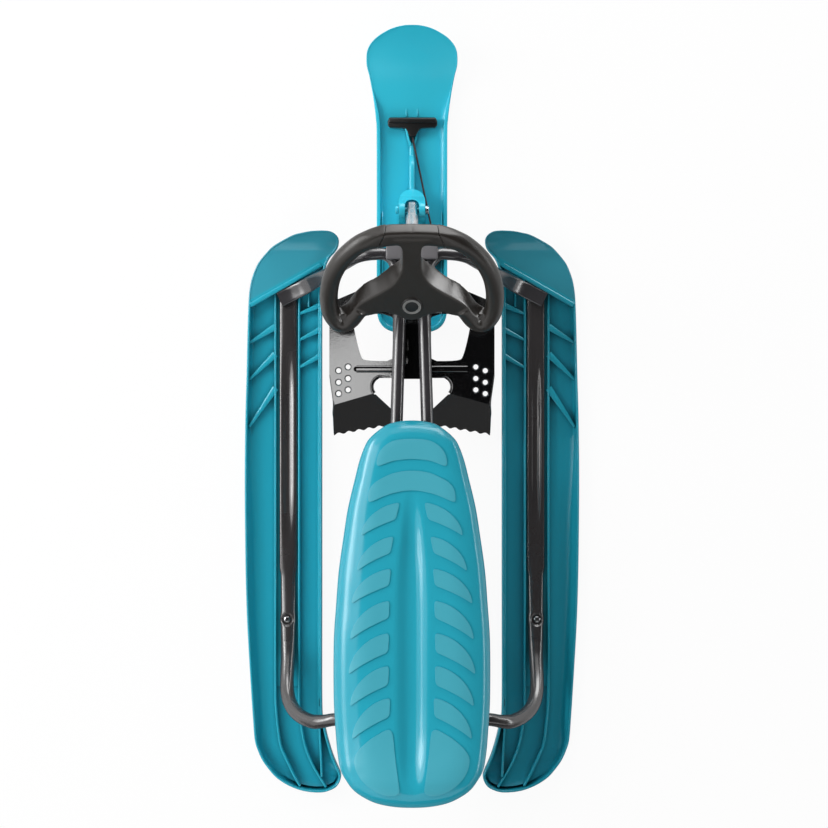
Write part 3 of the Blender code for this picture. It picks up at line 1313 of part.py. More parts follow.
def reel_centre():
    """The reel stands beside the cord's line, one winding radius away."""
    along = cord_direction()
    touch = Vector(CORD_TURN) - along * REEL_TANGENT
    across = Vector((-along.y, along.x))
    return touch + across * (WINDING_RADIUS + CORD_RADIUS + GAP)


def add_handle(plastic):
    """T-bar with finger groove and a stem that tapers to the cord."""
    half = HANDLE_BAR_LENGTH / 2.0
    x = CORD_START[0]
    y0 = HANDLE_BAR_Y - HANDLE_BAR_WIDTH / 2.0
    y1 = HANDLE_BAR_Y + HANDLE_BAR_WIDTH / 2.0
    low = CORD_Z + 0.001 - HANDLE_BAR_HEIGHT / 2.0
    high = CORD_Z + 0.001 + HANDLE_BAR_HEIGHT / 2.0
    bar = block("pull_handle", (x - half, y0, low), (x + half, y1, high), plastic, bevel=0.004)
    groove = block("handle_groove", (x - half + 0.008, HANDLE_BAR_Y - 0.003, high - 0.002),
                   (x + half - 0.008, HANDLE_BAR_Y + 0.003, high + 0.01))
    cut(bar, groove)
    tip = CORD_START[1] + 2.0 * GAP
    stem = [[(STEM_TIP, tip, 0.0035), (STEM_ROOT, y0 + 0.002, 0.0055)]]
    rings = []
    for wide, y, tall in stem[0]:
        ring = [(-wide, -tall), (wide, -tall), (wide, tall), (-wide, tall)]
        rings.append([Vector((x + a, y, CORD_Z + b)) for a, b in ring])
    join(bar, loft("handle_stem", rings))
    return bar


def add_cord(fibre):
    """The taut cord from the handle's stem into the reel, where it touches the winding."""
    along = cord_direction()
    end = Vector(CORD_TURN) - along * (REEL_TANGENT + CORD_TAIL)
    start = Vector(CORD_START)
    count = 28
    curve = bpy.data.curves.new("pull_cord", "CURVE")
    curve.dimensions = "3D"
    curve.bevel_depth = CORD_RADIUS
    curve.bevel_resolution = 2
    curve.use_fill_caps = True
    spline = curve.splines.new("POLY")
    spline.points.add(count)
    for i, target in enumerate(spline.points):
        point = start.lerp(end, i / count)
        target.co = (point.x, point.y, CORD_Z, 1.0)
    cord = bpy.data.objects.new("pull_cord", curve)
    bpy.context.scene.collection.objects.link(cord)
    curve.materials.append(fibre)
    return cord


def add_reel(housing_plastic, spool_plastic, steel, fibre):
    """Housing, spindle, spool, wound cord and flat return spring, standing on the ski."""
    centre = reel_centre()
    base = FRONT_SKI_THICKNESS + KEEL_HEIGHT + GAP
    at = Vector((centre.x, centre.y, base))
    up = (0, 0, 1)
    inner = REEL_RADIUS - REEL_WALL
    roof = REEL_HEIGHT
    housing = turned("reel_housing", at, up,
                     [(0.0, inner), (0.0, REEL_RADIUS), (roof - 0.003, REEL_RADIUS),
                      (roof, REEL_RADIUS - 0.003), (roof, 0.0)][:4]
                     + [(roof, SPINDLE_RADIUS + GAP), (roof - REEL_WALL, SPINDLE_RADIUS + GAP),
                        (roof - REEL_WALL, inner)], housing_plastic, 32)
    along = cord_direction()
    turn = Vector((CORD_TURN[0], CORD_TURN[1], CORD_Z))
    direction = Vector((along.x, along.y, 0.0))
    mouth = rod("reel_mouth", turn - direction * REEL_TANGENT, turn, CORD_RADIUS + 0.0010, sides=12)
    cut(housing, mouth)
    turned("reel_spindle", at, up,
           [(0.0, 0.0), (0.0, 0.0060), (0.002, 0.0060), (0.002, SPINDLE_RADIUS),
            (roof + 0.0012, SPINDLE_RADIUS), (roof + 0.0012, 0.0)], steel, 16)
    low = 0.0045
    high = roof - REEL_WALL - 0.0015
    flange = WINDING_RADIUS + CORD_RADIUS + 0.0045
    bore = SPINDLE_RADIUS + RUNNING_GAP
    pocket = high - 0.0065
    turned("reel_spool", at, up,
           [(low, bore), (low, flange), (low + SPOOL_THICKNESS, flange),
            (low + SPOOL_THICKNESS, DRUM_RADIUS), (high - SPOOL_THICKNESS, DRUM_RADIUS),
            (high - SPOOL_THICKNESS, flange), (high, flange), (high, DRUM_RADIUS - 0.002),
            (pocket, DRUM_RADIUS - 0.002), (pocket, bore)], spool_plastic, 28)
    wound_low = low + SPOOL_THICKNESS + GAP
    wound_high = high - SPOOL_THICKNESS - GAP
    turned("cord_winding", at, up,
           [(wound_low, DRUM_RADIUS + GAP), (wound_low, WINDING_RADIUS),
            (wound_high, WINDING_RADIUS), (wound_high, DRUM_RADIUS + GAP)], fibre, 28)
    bm = bmesh.new()
    outer = []
    inner_side = []
    turns = 3.0
    count = 36
    start_radius = SPINDLE_RADIUS + 0.0010
    pitch = (DRUM_RADIUS - 0.0032 - start_radius) / turns
    for i in range(count + 1):
        angle = math.tau * turns * i / count
        radius = start_radius + pitch * turns * i / count
        radial = Vector((math.cos(angle), math.sin(angle), 0.0))
        inner_side.append(at + radial * radius)
        outer.append(at + radial * (radius + 0.0004))
    for z in (pocket + 0.0006, high - 0.0006):
        for point in outer + inner_side:
            bm.verts.new(point + Vector((0.0, 0.0, z)))
    bm.verts.ensure_lookup_table()
    n = count + 1
    full = 2 * n
    for i in range(count):
        bm.faces.new([bm.verts[k] for k in (i, i + 1, n + i + 1, n + i)])
        bm.faces.new([bm.verts[k + full] for k in (n + i, n + i + 1, i + 1, i)])
        bm.faces.new([bm.verts[k] for k in (i, full + i, full + i + 1, i + 1)])
        bm.faces.new([bm.verts[k] for k in (n + i + 1, full + n + i + 1, full + n + i, n + i)])
    bm.faces.new([bm.verts[k] for k in (0, n, full + n, full)])
    bm.faces.new([bm.verts[k] for k in (n - 1, full + n - 1, full + 2 * n - 1, 2 * n - 1)])
    add_object("reel_spring", bm, steel)


def add_empty(name, location):
    empty = bpy.data.objects.new(name, None)
    empty.empty_display_size = 0.05
    empty.location = location
    bpy.context.scene.collection.objects.link(empty)
    return empty


def parent_to(empty, names):
    """Hangs finished pieces on an empty at their joint, without moving them."""
    bpy.context.view_layer.update()
    for name in names:
        piece = bpy.data.objects[name]
        piece.parent = empty
        piece.matrix_parent_inverse = empty.matrix_world.inverted()


def build():
    clear_scene()
    teal = make_material("teal_plastic", TEAL_RIM, 0.28)
    seat_teal = make_material("seat_plastic", (0.045, 0.46, 0.55, 1.0), 0.15)
    frame_steel = make_material("frame_paint", (0.05, 0.05, 0.055, 1.0), 0.32, 0.7)
    bright_steel = make_material("zinc_steel", (0.62, 0.63, 0.64, 1.0), 0.3, 1.0)
    brake_black = make_material("brake_enamel", (0.03, 0.03, 0.032, 1.0), 0.12, 0.3)
    cast_grey = make_material("bracket_paint", (0.09, 0.09, 0.095, 1.0), 0.45)
    black = make_material("black_plastic", (0.025, 0.025, 0.025, 1.0), 0.35)
    grip_black = make_material("grip_plastic", (0.03, 0.03, 0.028, 1.0), 0.45)
    cord_black = make_material("cord_fibre", (0.01, 0.01, 0.01, 1.0), 0.8)
    bush_white = make_material("bush_plastic", (0.7, 0.7, 0.68, 1.0), 0.4)

    add_rear_hoop(frame_steel)
    for side in (-1, 1):
        add_frame_tube(side, frame_steel)
        add_tube_plug(side, black)
        add_rear_ski(side, teal)
        add_rail_bolt(side, bright_steel)
        add_front_screw(side, bright_steel)
        add_head_bracket(side, cast_grey)
    add_front_ski(teal)
    add_axle(bright_steel)
    add_axle_nut(bright_steel)
    add_steering_column(bright_steel, bush_white)
    add_wheel(black, grip_black, black, bright_steel)
    add_centre_plate(brake_black)
    add_brake_plate(brake_black)
    add_pivot_rod(bright_steel)
    add_brake_spring(bright_steel)
    add_seat(seat_teal)
    for name, (y, _) in zip(("front", "rear"), SEAT_SADDLES):
        add_seat_clamp(name + "_seat_clamp", y, frame_steel)
        add_seat_screw(name + "_seat_screw", y, bright_steel)
    add_handle(black)
    add_cord(cord_black)
    add_reel(black, bush_white, bright_steel, cord_black)

    steering = add_empty("steering_axis", column_point(0.0))
    parent_to(steering, ["steering_shaft", "shaft_collar", "wheel_centre", "left_grip",
                         "right_grip", "hub_cap", "wheel_bolt"])
    pitch = add_empty("ski_pitch_axis", (0.0, AXLE_Y, AXLE_Z))
    parent_to(pitch, ["front_ski", "ski_axle", "ski_axle_nut", "reel_housing", "reel_spindle",
                      "reel_spring"])
    brake = add_empty("brake_axis", (0.0, BRAKE_PIVOT_Y, brake_pivot_z()))
    parent_to(brake, ["brake_plate", "brake_spring"])
    pull = add_empty("pull_axis", (CORD_START[0], CORD_START[1], CORD_Z))
    parent_to(pull, ["pull_handle", "pull_cord"])
    centre = reel_centre()
    reel = add_empty("reel_axis", (centre.x, centre.y, CORD_Z))
    parent_to(reel, ["reel_spool", "cord_winding"])


build()
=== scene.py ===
"""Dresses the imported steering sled: moulded skins, bent tubes, finishes, studio and camera."""

import json
import logging
import math
from contextlib import contextmanager
from dataclasses import dataclass, field
from enum import Enum
from typing import Callable, Iterable, Iterator, Sequence

import bpy
from mathutils import Matrix, Vector
from mathutils.kdtree import KDTree

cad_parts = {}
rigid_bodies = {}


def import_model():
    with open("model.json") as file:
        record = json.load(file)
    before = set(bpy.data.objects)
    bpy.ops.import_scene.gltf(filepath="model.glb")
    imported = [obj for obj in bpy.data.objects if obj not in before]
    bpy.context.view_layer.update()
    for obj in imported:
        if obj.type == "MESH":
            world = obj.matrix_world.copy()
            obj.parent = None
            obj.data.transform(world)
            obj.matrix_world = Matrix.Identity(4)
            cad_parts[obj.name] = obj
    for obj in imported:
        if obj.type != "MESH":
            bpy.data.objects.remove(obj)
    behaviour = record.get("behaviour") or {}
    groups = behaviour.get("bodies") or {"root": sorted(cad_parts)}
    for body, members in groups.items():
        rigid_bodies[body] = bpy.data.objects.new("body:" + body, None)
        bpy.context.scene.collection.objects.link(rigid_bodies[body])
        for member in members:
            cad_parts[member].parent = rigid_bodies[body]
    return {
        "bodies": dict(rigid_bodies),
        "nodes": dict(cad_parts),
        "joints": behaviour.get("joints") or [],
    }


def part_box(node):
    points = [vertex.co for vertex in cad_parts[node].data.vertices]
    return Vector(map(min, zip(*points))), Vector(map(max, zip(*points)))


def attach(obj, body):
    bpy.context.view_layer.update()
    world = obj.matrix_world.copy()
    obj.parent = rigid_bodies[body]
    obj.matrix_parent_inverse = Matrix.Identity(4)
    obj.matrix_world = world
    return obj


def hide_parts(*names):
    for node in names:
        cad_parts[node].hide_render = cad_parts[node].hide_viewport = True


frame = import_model()

log = logging.getLogger("steering_sled")

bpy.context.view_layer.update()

Obj = bpy.types.Object
Material = bpy.types.Material
Socket = bpy.types.NodeSocket
PlanPoint = tuple[float, float]
Plan = tuple[PlanPoint, ...]
Colour = tuple[float, float, float]

ACROSS = Vector((1.0, 0.0, 0.0))
AHEAD = Vector((0.0, 1.0, 0.0))
UP = Vector((0.0, 0.0, 1.0))

RIDGE_SLOPE = 0.569
RIDGE_LEVEL = 0.3157


class Side(Enum):
    """The two sides of the sled, as the rider sees them."""

    LEFT = -1
    RIGHT = 1

    @property
    def label(self) -> str:
        """Word used in node and piece names."""
        return self.name.lower()

    def turned(self, outline: Iterable[PlanPoint]) -> list[PlanPoint]:
        """Brings a right-hand outline to this side."""
        return [(x * self.value, y) for x, y in outline]


class Body(Enum):
    """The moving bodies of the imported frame."""

    FRAME = "frame"
    STEERING = "steering"
    FRONT_SKI = "front_ski"
    HANDLE = "handle"
    SPOOL = "spool"
    BRAKE = "brake"


class Grain(Enum):
    """Surface textures of moulded and painted finishes: noise scale and bump height."""

    POLISHED = (260.0, 0.00003)
    SATIN = (900.0, 0.00012)
    LEATHER = (520.0, 0.00022)
    SPRAYED = (420.0, 0.00006)

    @property
    def scale(self) -> float:
        """Noise scale in cells per metre."""
        return self.value[0]

    @property
    def height(self) -> float:
        """Bump height in metres."""
        return self.value[1]


class Keep(Enum):
    """Which part of a piece stays when a tool cuts it."""

    OUTSIDE = "DIFFERENCE"
    INSIDE = "INTERSECT"


class Link(Enum):
    """How a light is tied to one piece: it lights only this one, or never this one."""

    ONLY = "INCLUDE"
    NEVER = "EXCLUDE"

    def tie(self, light: Obj, piece: str) -> None:
        """Ties a light to a piece.

        Args:
            light: A lamp or a shining card.
            piece: Name of the piece.
        """
        group = bpy.data.collections.new(f"{light.name}_receivers")
        group.objects.link(bpy.data.objects[piece])
        group.collection_objects[0].light_linking.link_state = self.value
        light.light_linking.receiver_collection = group


def plan(*numbers: float) -> Plan:
    """Pairs up numbers in millimetres as points in metres."""
    metres = [round(number / 1000.0, 7) for number in numbers]
    return tuple(zip(metres[::2], metres[1::2]))


def flat(points: Iterable[PlanPoint]) -> list[Vector]:
    """Plan points as vectors at height 0."""
    return [Vector((x, y, 0.0)) for x, y in points]


def mirrored(points: Iterable[Vector]) -> list[Vector]:
    """The same points on the other side of the middle."""
    return [Vector((-p.x, p.y, p.z)) for p in points]


def whole(half: Sequence[PlanPoint]) -> list[PlanPoint]:
    """Closes a right half, which starts and ends in the middle, by its mirror image."""
    return list(half) + [(-x, y) for x, y in reversed(half[1:-1])]


def arc(x: float, y: float, radius: float, angles: Iterable[float]) -> list[PlanPoint]:
    """Points of a circle round (x, y) at angles in radians."""
    return [(x + radius * math.cos(a), y + radius * math.sin(a)) for a in angles]


def softened(points: Sequence[PlanPoint], rounds: int = 2) -> list[PlanPoint]:
    """Rounds an outline's corners.

    Args:
        points: The closed outline.
        rounds: How often each corner is cut.

    Returns:
        The rounder outline.
    """
    current = [Vector(p) for p in points]
    for _ in range(rounds):
        current = [a.lerp(b, share) for a, b in zip(current, current[1:] + current[:1])
                   for share in (0.25, 0.75)]
    return [(p.x, p.y) for p in current]


def smooth_step(x: float, start: float, end: float) -> float:
    """Rises smoothly from 0 at start to 1 at end."""
    t = min(max((x - start) / (end - start), 0.0), 1.0)
    return t * t * (3.0 - 2.0 * t)


def catmull(points: Sequence[Vector], steps: int) -> list[Vector]:
    """Runs a smooth curve through points.

    Args:
        points: Points that the curve passes.
        steps: Pieces between two points.

    Returns:
        The points of the curve.
    """
    result: list[Vector] = []
    for i in range(len(points) - 1):
        p1, p2 = points[i], points[i + 1]
        p0 = points[i - 1] if i else p1 * 2.0 - p2
        p3 = points[i + 2] if i + 2 < len(points) else p2 * 2.0 - p1
        for k in range(steps):
            t = k / steps
            result.append(0.5 * (2.0 * p1 + (p2 - p0) * t
                                 + (2.0 * p0 - 5.0 * p1 + 4.0 * p2 - p3) * t * t
                                 + (3.0 * p1 - p0 - 3.0 * p2 + p3) * t ** 3))
    result.append(points[-1].copy())
    return result


def resample(points: Sequence[Vector], count: int) -> list[Vector]:
    """Spaces points evenly along a polyline.

    Args:
        points: The polyline.
        count: Number of equal pieces.

    Returns:
        count + 1 points.
    """
    lengths = [0.0]
    for a, b in zip(points, points[1:]):
        lengths.append(lengths[-1] + (b - a).length)
    result: list[Vector] = []
    j = 0
    for i in range(count + 1):
        target = lengths[-1] * i / count
        while j < len(points) - 2 and lengths[j + 1] < target:
            j += 1
        span = lengths[j + 1] - lengths[j]
        share = (target - lengths[j]) / span if span > 0.0 else 0.0
        result.append(points[j].lerp(points[j + 1], min(max(share, 0.0), 1.0)))
    return result


def half_edge(points: Iterable[PlanPoint], steps: int, count: int) -> list[Vector]:
    """Smooth right half of an edge that crosses the middle squarely at both ends.

    Args:
        points: Plan points from one end to the other.
        steps: Pieces between two points.
        count: Number of equal pieces in the result.

    Returns:
        count + 1 points.
    """
    right = flat(points)
    curve = catmull([*mirrored(right[1:2]), *right, *mirrored(right[-2:-1])], steps)
    return resample(curve[steps:-steps], count)


class Table:
    """A smooth curve through rows of key and value."""

    def __init__(self, *numbers: float) -> None:
        """Keeps the rows, which are given as keys and values in turn, in millimetres."""
        self.rows = sorted(plan(*numbers))

    def __call__(self, key: float) -> float:
        """Reads the curve by monotone cubic pieces.

        Args:
            key: Where to read it.

        Returns:
            The value there, held flat past both ends.
        """
        rows = self.rows
        if key <= rows[0][0]:
            return rows[0][1]
        if key >= rows[-1][0]:
            return rows[-1][1]
        i = max(k for k in range(len(rows) - 1) if rows[k][0] <= key)
        (x0, y0), (x1, y1) = rows[i], rows[i + 1]
        span = x1 - x0
        t = (key - x0) / span
        m0, m1 = self._slope(i), self._slope(i + 1)
        return ((2 * t ** 3 - 3 * t ** 2 + 1) * y0 + (t ** 3 - 2 * t ** 2 + t) * span * m0
                + (-2 * t ** 3 + 3 * t ** 2) * y1 + (t ** 3 - t ** 2) * span * m1)

    def _slope(self, i: int) -> float:
        """Slope at row i that keeps the curve from overshooting.

        Args:
            i: Row number.

        Returns:
            The slope.
        """
        rows = self.rows
        if i in (0, len(rows) - 1):
            j = min(i, len(rows) - 2)
            return (rows[j + 1][1] - rows[j][1]) / (rows[j + 1][0] - rows[j][0])
        before = (rows[i][1] - rows[i - 1][1]) / (rows[i][0] - rows[i - 1][0])
        after = (rows[i + 1][1] - rows[i][1]) / (rows[i + 1][0] - rows[i][0])
        if before * after <= 0.0:
            return 0.0
        return 2.0 * before * after / (before + after)


class Bench:
    """The modelling bench: short calls round Blender's operators."""

    @staticmethod
    def clear_selection() -> None:
        """Leaves edit mode and deselects every object."""
        if bpy.context.object and bpy.context.object.mode != "OBJECT":
            bpy.ops.object.mode_set(mode="OBJECT")
        bpy.ops.object.select_all(action="DESELECT")

    @staticmethod
    def pick(*objects: Obj) -> None:
        """Selects objects and makes the first one active.

        Args:
            *objects: What to select.
        """
        Bench.clear_selection()
        for obj in objects:
            obj.select_set(True)
        bpy.context.view_layer.objects.active = objects[0]

    @staticmethod
    def named(obj: Obj, name: str) -> Obj:
        """Names an object and its data."""
        obj.name = obj.data.name = name
        return obj

    @staticmethod
    def fresh(name: str, add: Callable[..., set], **options: object) -> Obj:
        """Adds an object by an operator.

        Args:
            name: Name of the object.
            add: The operator.
            **options: What the operator takes.

        Returns:
            The new object.
        """
        Bench.clear_selection()
        add(**options)
        return Bench.named(bpy.context.object, name)

    @staticmethod
    @contextmanager
    def editing(obj: Obj) -> Iterator[None]:
        """Opens edit mode with the whole mesh selected, and closes it again.

        Args:
            obj: The mesh object.
        """
        Bench.pick(obj)
        bpy.ops.object.mode_set(mode="EDIT")
        bpy.ops.mesh.select_all(action="SELECT")
        yield
        bpy.ops.object.mode_set(mode="OBJECT")

    @staticmethod
    def seal(obj: Obj, gap: float = 1e-6) -> Obj:
        """Merges doubles and turns all faces outwards.

        Args:
            obj: The mesh object.
            gap: Largest distance between points that merge.

        Returns:
            The same object.
        """
        with Bench.editing(obj):
            bpy.ops.mesh.remove_doubles(threshold=gap)
            bpy.ops.mesh.dissolve_degenerate(threshold=gap)
            bpy.ops.mesh.normals_make_consistent(inside=False)
        return obj

    @staticmethod
    def sheet(name: str, columns: int, rows: int, place: Callable[[int, int], Vector]) -> Obj:
        """Adds a grid and moves each of its vertices to its place.

        Args:
            name: Name of the piece.
            columns: Cells across.
            rows: Cells along.
            place: Gives the point of a column and a row.

        Returns:
            The shaped object, with its origin at the world's.
        """
        obj = Bench.fresh(name, bpy.ops.mesh.primitive_grid_add, x_subdivisions=columns,
                          y_subdivisions=rows, size=1.0)
        for index, vertex in enumerate(obj.data.vertices):
            row, column = divmod(index, columns + 1)
            vertex.co = place(column, row)
        return Bench.seal(obj)

    @staticmethod
    def loft(name: str, rings: Sequence[Sequence[Vector]], closed: bool = True) -> Obj:
        """Joins rows of points to a skin.

        Args:
            name: Name of the piece.
            rings: The rows, all of one length.
            closed: Whether each row runs round to its start.

        Returns:
            The skin.
        """
        count = len(rings[0])
        return Bench.sheet(name, count if closed else count - 1, len(rings) - 1,
                           lambda column, row: rings[row][column % count])

    @staticmethod
    def alter(obj: Obj, kind: str, **settings: object) -> Obj:
        """Adds a modifier and applies it.

        Args:
            obj: The mesh object.
            kind: Type of the modifier.
            **settings: Its settings.

        Returns:
            The same object.
        """
        modifier = obj.modifiers.new(kind.lower(), kind)
        for key, value in settings.items():
            setattr(modifier, key, value)
        Bench.pick(obj)
        bpy.ops.object.modifier_apply(modifier=modifier.name)
        return obj

    @staticmethod
    def smooth(obj: Obj, degrees: float = 35.0, flat_faces: bool = False) -> Obj:
        """Shades smooth, with edges sharper than the angle kept crisp.

        Args:
            obj: The mesh object.
            degrees: Largest angle that is smoothed over.
            flat_faces: Whether large faces stay flat and only the rounds blend.

        Returns:
            The same object.
        """
        Bench.pick(obj)
        bpy.ops.object.shade_smooth_by_angle(angle=math.radians(degrees))
        if flat_faces:
            Bench.alter(obj, "WEIGHTED_NORMAL", keep_sharp=True, weight=100)
        return obj

    @staticmethod
    def bevel(obj: Obj, width: float, segments: int = 2, degrees: float = 32.0) -> Obj:
        """Rounds the edges that are sharper than an angle.

        Args:
            obj: The mesh object.
            width: Width of the round in metres.
            segments: Faces across the round.
            degrees: Angle past which an edge is rounded.

        Returns:
            The same object.
        """
        return Bench.alter(obj, "BEVEL", width=width, segments=segments, limit_method="ANGLE",
                           angle_limit=math.radians(degrees), harden_normals=False)

    @staticmethod
    def combine(obj: Obj, tool: Obj, keep: Keep = Keep.OUTSIDE) -> Obj:
        """Cuts a piece with a tool, which is used up.

        Args:
            obj: The object to change.
            tool: The tool's object.
            keep: The part of the piece that stays.

        Returns:
            The changed object.
        """
        Bench.alter(obj, "BOOLEAN", operation=keep.value, object=tool, solver="EXACT")
        bpy.data.objects.remove(tool)
        return obj

    @staticmethod
    def merge(name: str, parts: Sequence[Obj]) -> Obj:
        """Joins several meshes into one piece, each keeping its own faces.

        Args:
            name: Name of the joined piece.
            parts: The meshes.

        Returns:
            The joined object.
        """
        Bench.pick(*parts)
        if len(parts) > 1:
            bpy.ops.object.join()
        return Bench.named(bpy.context.object, name)

    @staticmethod
    def mirror(obj: Obj, name: str) -> Obj:
        """Makes the left twin of a right-hand piece.

        Args:
            obj: The right-hand piece.
            name: Name of the twin.

        Returns:
            The twin, with its own mesh.
        """
        Bench.pick(obj)
        bpy.ops.object.duplicate()
        twin = Bench.named(bpy.context.object, name)
        bpy.ops.transform.mirror(constraint_axis=(True, False, False), orient_type="GLOBAL",
                                 center_override=(0.0, 0.0, 0.0))
        bpy.ops.object.transform_apply(location=True, rotation=True, scale=True)
        with Bench.editing(twin):
            bpy.ops.mesh.normals_make_consistent(inside=False)
        return twin

    @staticmethod
    def extruded(name: str, outline: Sequence[PlanPoint], low: float, high: float) -> Obj:
        """Extrudes a plan outline upwards.

        Args:
            name: Name of the object.
            outline: Plan points, in order round the outline.
            low: Height of the lower face.
            high: Height of the upper face.

        Returns:
            A closed prism.
        """
        obj = Bench.fresh(name, bpy.ops.mesh.primitive_circle_add, vertices=len(outline),
                          radius=1.0, fill_type="NGON")
        for vertex, (x, y) in zip(obj.data.vertices, outline):
            vertex.co = (x, y, low)
        with Bench.editing(obj):
            bpy.ops.mesh.extrude_region_move(
                TRANSFORM_OT_translate={"value": (0.0, 0.0, high - low)})
            bpy.ops.mesh.select_all(action="SELECT")
            bpy.ops.mesh.normals_make_consistent(inside=False)
        return obj

    @staticmethod
    def profile(name: str, outline: Sequence[PlanPoint], half: float) -> Obj:
        """Extrudes an outline of y and z across the middle.

        Args:
            name: Name of the object.
            outline: Pairs of y and z.
            half: Half its width.

        Returns:
            A closed prism.
        """
        obj = Bench.extruded(name, outline, -half, half)
        for vertex in obj.data.vertices:
            vertex.co = vertex.co.zxy
        return Bench.seal(obj)

    @staticmethod
    def block(name: str, low: Iterable[float], high: Iterable[float],
              rounding: float = 0.0) -> Obj:
        """Adds a box between two corners, with rounded edges if wanted.

        Args:
            name: Name of the object.
            low: Lowest corner.
            high: Highest corner.
            rounding: Width of the rounded edges.

        Returns:
            The box.
        """
        a, b = Vector(low), Vector(high)
        obj = Bench.fresh(name, bpy.ops.mesh.primitive_cube_add, size=1.0,
                          location=(a + b) / 2.0)
        obj.scale = b - a
        bpy.ops.object.transform_apply(location=True, rotation=True, scale=True)
        return Bench.bevel(obj, rounding, 3) if rounding > 0.0 else obj

    @staticmethod
    def lathe(name: str, start: Vector, axis: Vector, profile: Sequence[PlanPoint],
              sides: int = 40) -> Obj:
        """Turns a profile round an axis.

        Args:
            name: Name of the object.
            start: Point of the axis where distances start.
            axis: Direction of the axis.
            profile: Pairs of distance along the axis and radius.
            sides: Faces round the axis.

        Returns:
            The turned piece.
        """
        forward = axis.normalized()
        side = forward.orthogonal().normalized()
        up = forward.cross(side)

        def place(column: int, row: int) -> Vector:
            """Point of the profile at one angle."""
            angle = math.tau * column / sides
            distance, radius = profile[row]
            return start + forward * distance + (side * math.cos(angle)
                                                 + up * math.sin(angle)) * radius

        return Bench.sheet(name, sides, len(profile) - 1, place)


@dataclass(frozen=True)
class SectionSize:
    """A tube's section: half width, half height, squareness and depth of a pressed groove."""

    half_width: float
    half_height: float
    power: float = 2.0
    groove: float = 0.0

    def point(self, angle: float) -> PlanPoint:
        """Point of the section's outline.

        Args:
            angle: Angle round the section in radians.

        Returns:
            Offsets across and up.
        """
        c, s = math.cos(angle), math.sin(angle)
        wide = self.half_width * math.copysign(abs(c) ** (2.0 / self.power), c)
        high = self.half_height * math.copysign(abs(s) ** (2.0 / self.power), s)
        if self.groove and high > 0.0:
            high -= self.groove * math.exp(-(wide / (self.half_width * 0.48)) ** 2)
        return wide, high


Section = Callable[[float], SectionSize]


class Sweep:
    """Carries a section along a path without twist."""

    def __init__(self, path: Sequence[Vector], section: Section | SectionSize, sides: int,
                 first_side: Vector, closed_ends: bool = True) -> None:
        """Works out the rings.

        Args:
            path: Points of the centre line.
            section: The section, or what gives it at a distance along the path.
            sides: Points round the section.
            first_side: Direction of the section's width at the start.
            closed_ends: Whether both ends get a cap.
        """
        self.rings: list[list[Vector]] = []
        side = first_side.normalized()
        travelled = 0.0
        for i, point in enumerate(path):
            before, after = path[max(i - 1, 0)], path[min(i + 1, len(path) - 1)]
            forward = (after - before).normalized()
            side = (side - forward * side.dot(forward)).normalized()
            up = side.cross(forward)
            if i:
                travelled += (point - before).length
            size = section if isinstance(section, SectionSize) else section(travelled)
            offsets = (size.point(math.tau * (k + 0.5) / sides) for k in range(sides))
            self.rings.append([point + side * across + up * lift for across, lift in offsets])
        if closed_ends:
            self.rings = [[path[0]] * sides, *self.rings, [path[-1]] * sides]

    def build(self, name: str) -> Obj:
        """Makes the mesh."""
        return Bench.loft(name, self.rings)


def bent_path(corners: Sequence[Sequence[float]], radii: Sequence[float],
              step: float = math.radians(5.0)) -> list[Vector]:
    """Rounds the inner corners of a polyline, as a tube bender does.

    Args:
        corners: The polyline.
        radii: Bend radius at each inner corner.
        step: Largest turn between two points.

    Returns:
        Points along the bent path.
    """
    points = [Vector(corners[0])]
    for previous, corner, following, radius in zip(corners, corners[1:], corners[2:], radii):
        middle = Vector(corner)
        into = (middle - Vector(previous)).normalized()
        out = (Vector(following) - middle).normalized()
        turn = into.angle(out)
        start = middle - into * (radius * math.tan(turn / 2.0))
        centre = start + (out - into * into.dot(out)).normalized() * radius
        inward = (start - centre).normalized()
        count = max(2, math.ceil(turn / step))
        for i in range(count + 1):
            angle = turn * i / count
            points.append(centre + inward * (radius * math.cos(angle))
                          + into * (radius * math.sin(angle)))
    points.append(Vector(corners[-1]))
    return points


def fine(path: Sequence[Vector], spacing: float) -> list[Vector]:
    """Adds points so that no two are further apart than spacing.

    Args:
        path: The points.
        spacing: Largest distance in metres.

    Returns:
        The longer list.
    """
    result = [path[0].copy()]
    for a, b in zip(path, path[1:]):
        count = max(1, math.ceil((b - a).length / spacing))
        result += [a.lerp(b, k / count) for k in range(1, count + 1)]
    return result


class NodeGraph:
    """Short calls to fill the node tree of a material or a world."""

    def __init__(self, owner: Material | bpy.types.World, empty: bool = True) -> None:
        """Switches the nodes on.

        Args:
            owner: The material or world.
            empty: Whether its first nodes are cleared away.
        """
        owner.use_nodes = True
        self.tree = owner.node_tree
        if empty:
            self.tree.nodes.clear()

    def feed(self, node: bpy.types.Node, key: str | int, value: object) -> None:
        """Links a socket to an input, or sets the input's value.

        Args:
            node: The node.
            key: Name or number of its input.
            value: A socket or a value.
        """
        if isinstance(value, Socket):
            self.tree.links.new(value, node.inputs[key])
        else:
            node.inputs[key].default_value = value

    def add(self, kind: str, inputs: dict, **settings: object) -> bpy.types.Node:
        """Adds a node.

        Args:
            kind: Its type, without the word ShaderNode.
            inputs: Sockets or values for its inputs, by name or number.
            **settings: Its other settings.

        Returns:
            The node.
        """
        node = self.tree.nodes.new(f"ShaderNode{kind}")
        for key, value in settings.items():
            setattr(node, key, value)
        for key, value in inputs.items():
            self.feed(node, key, value)
        return node


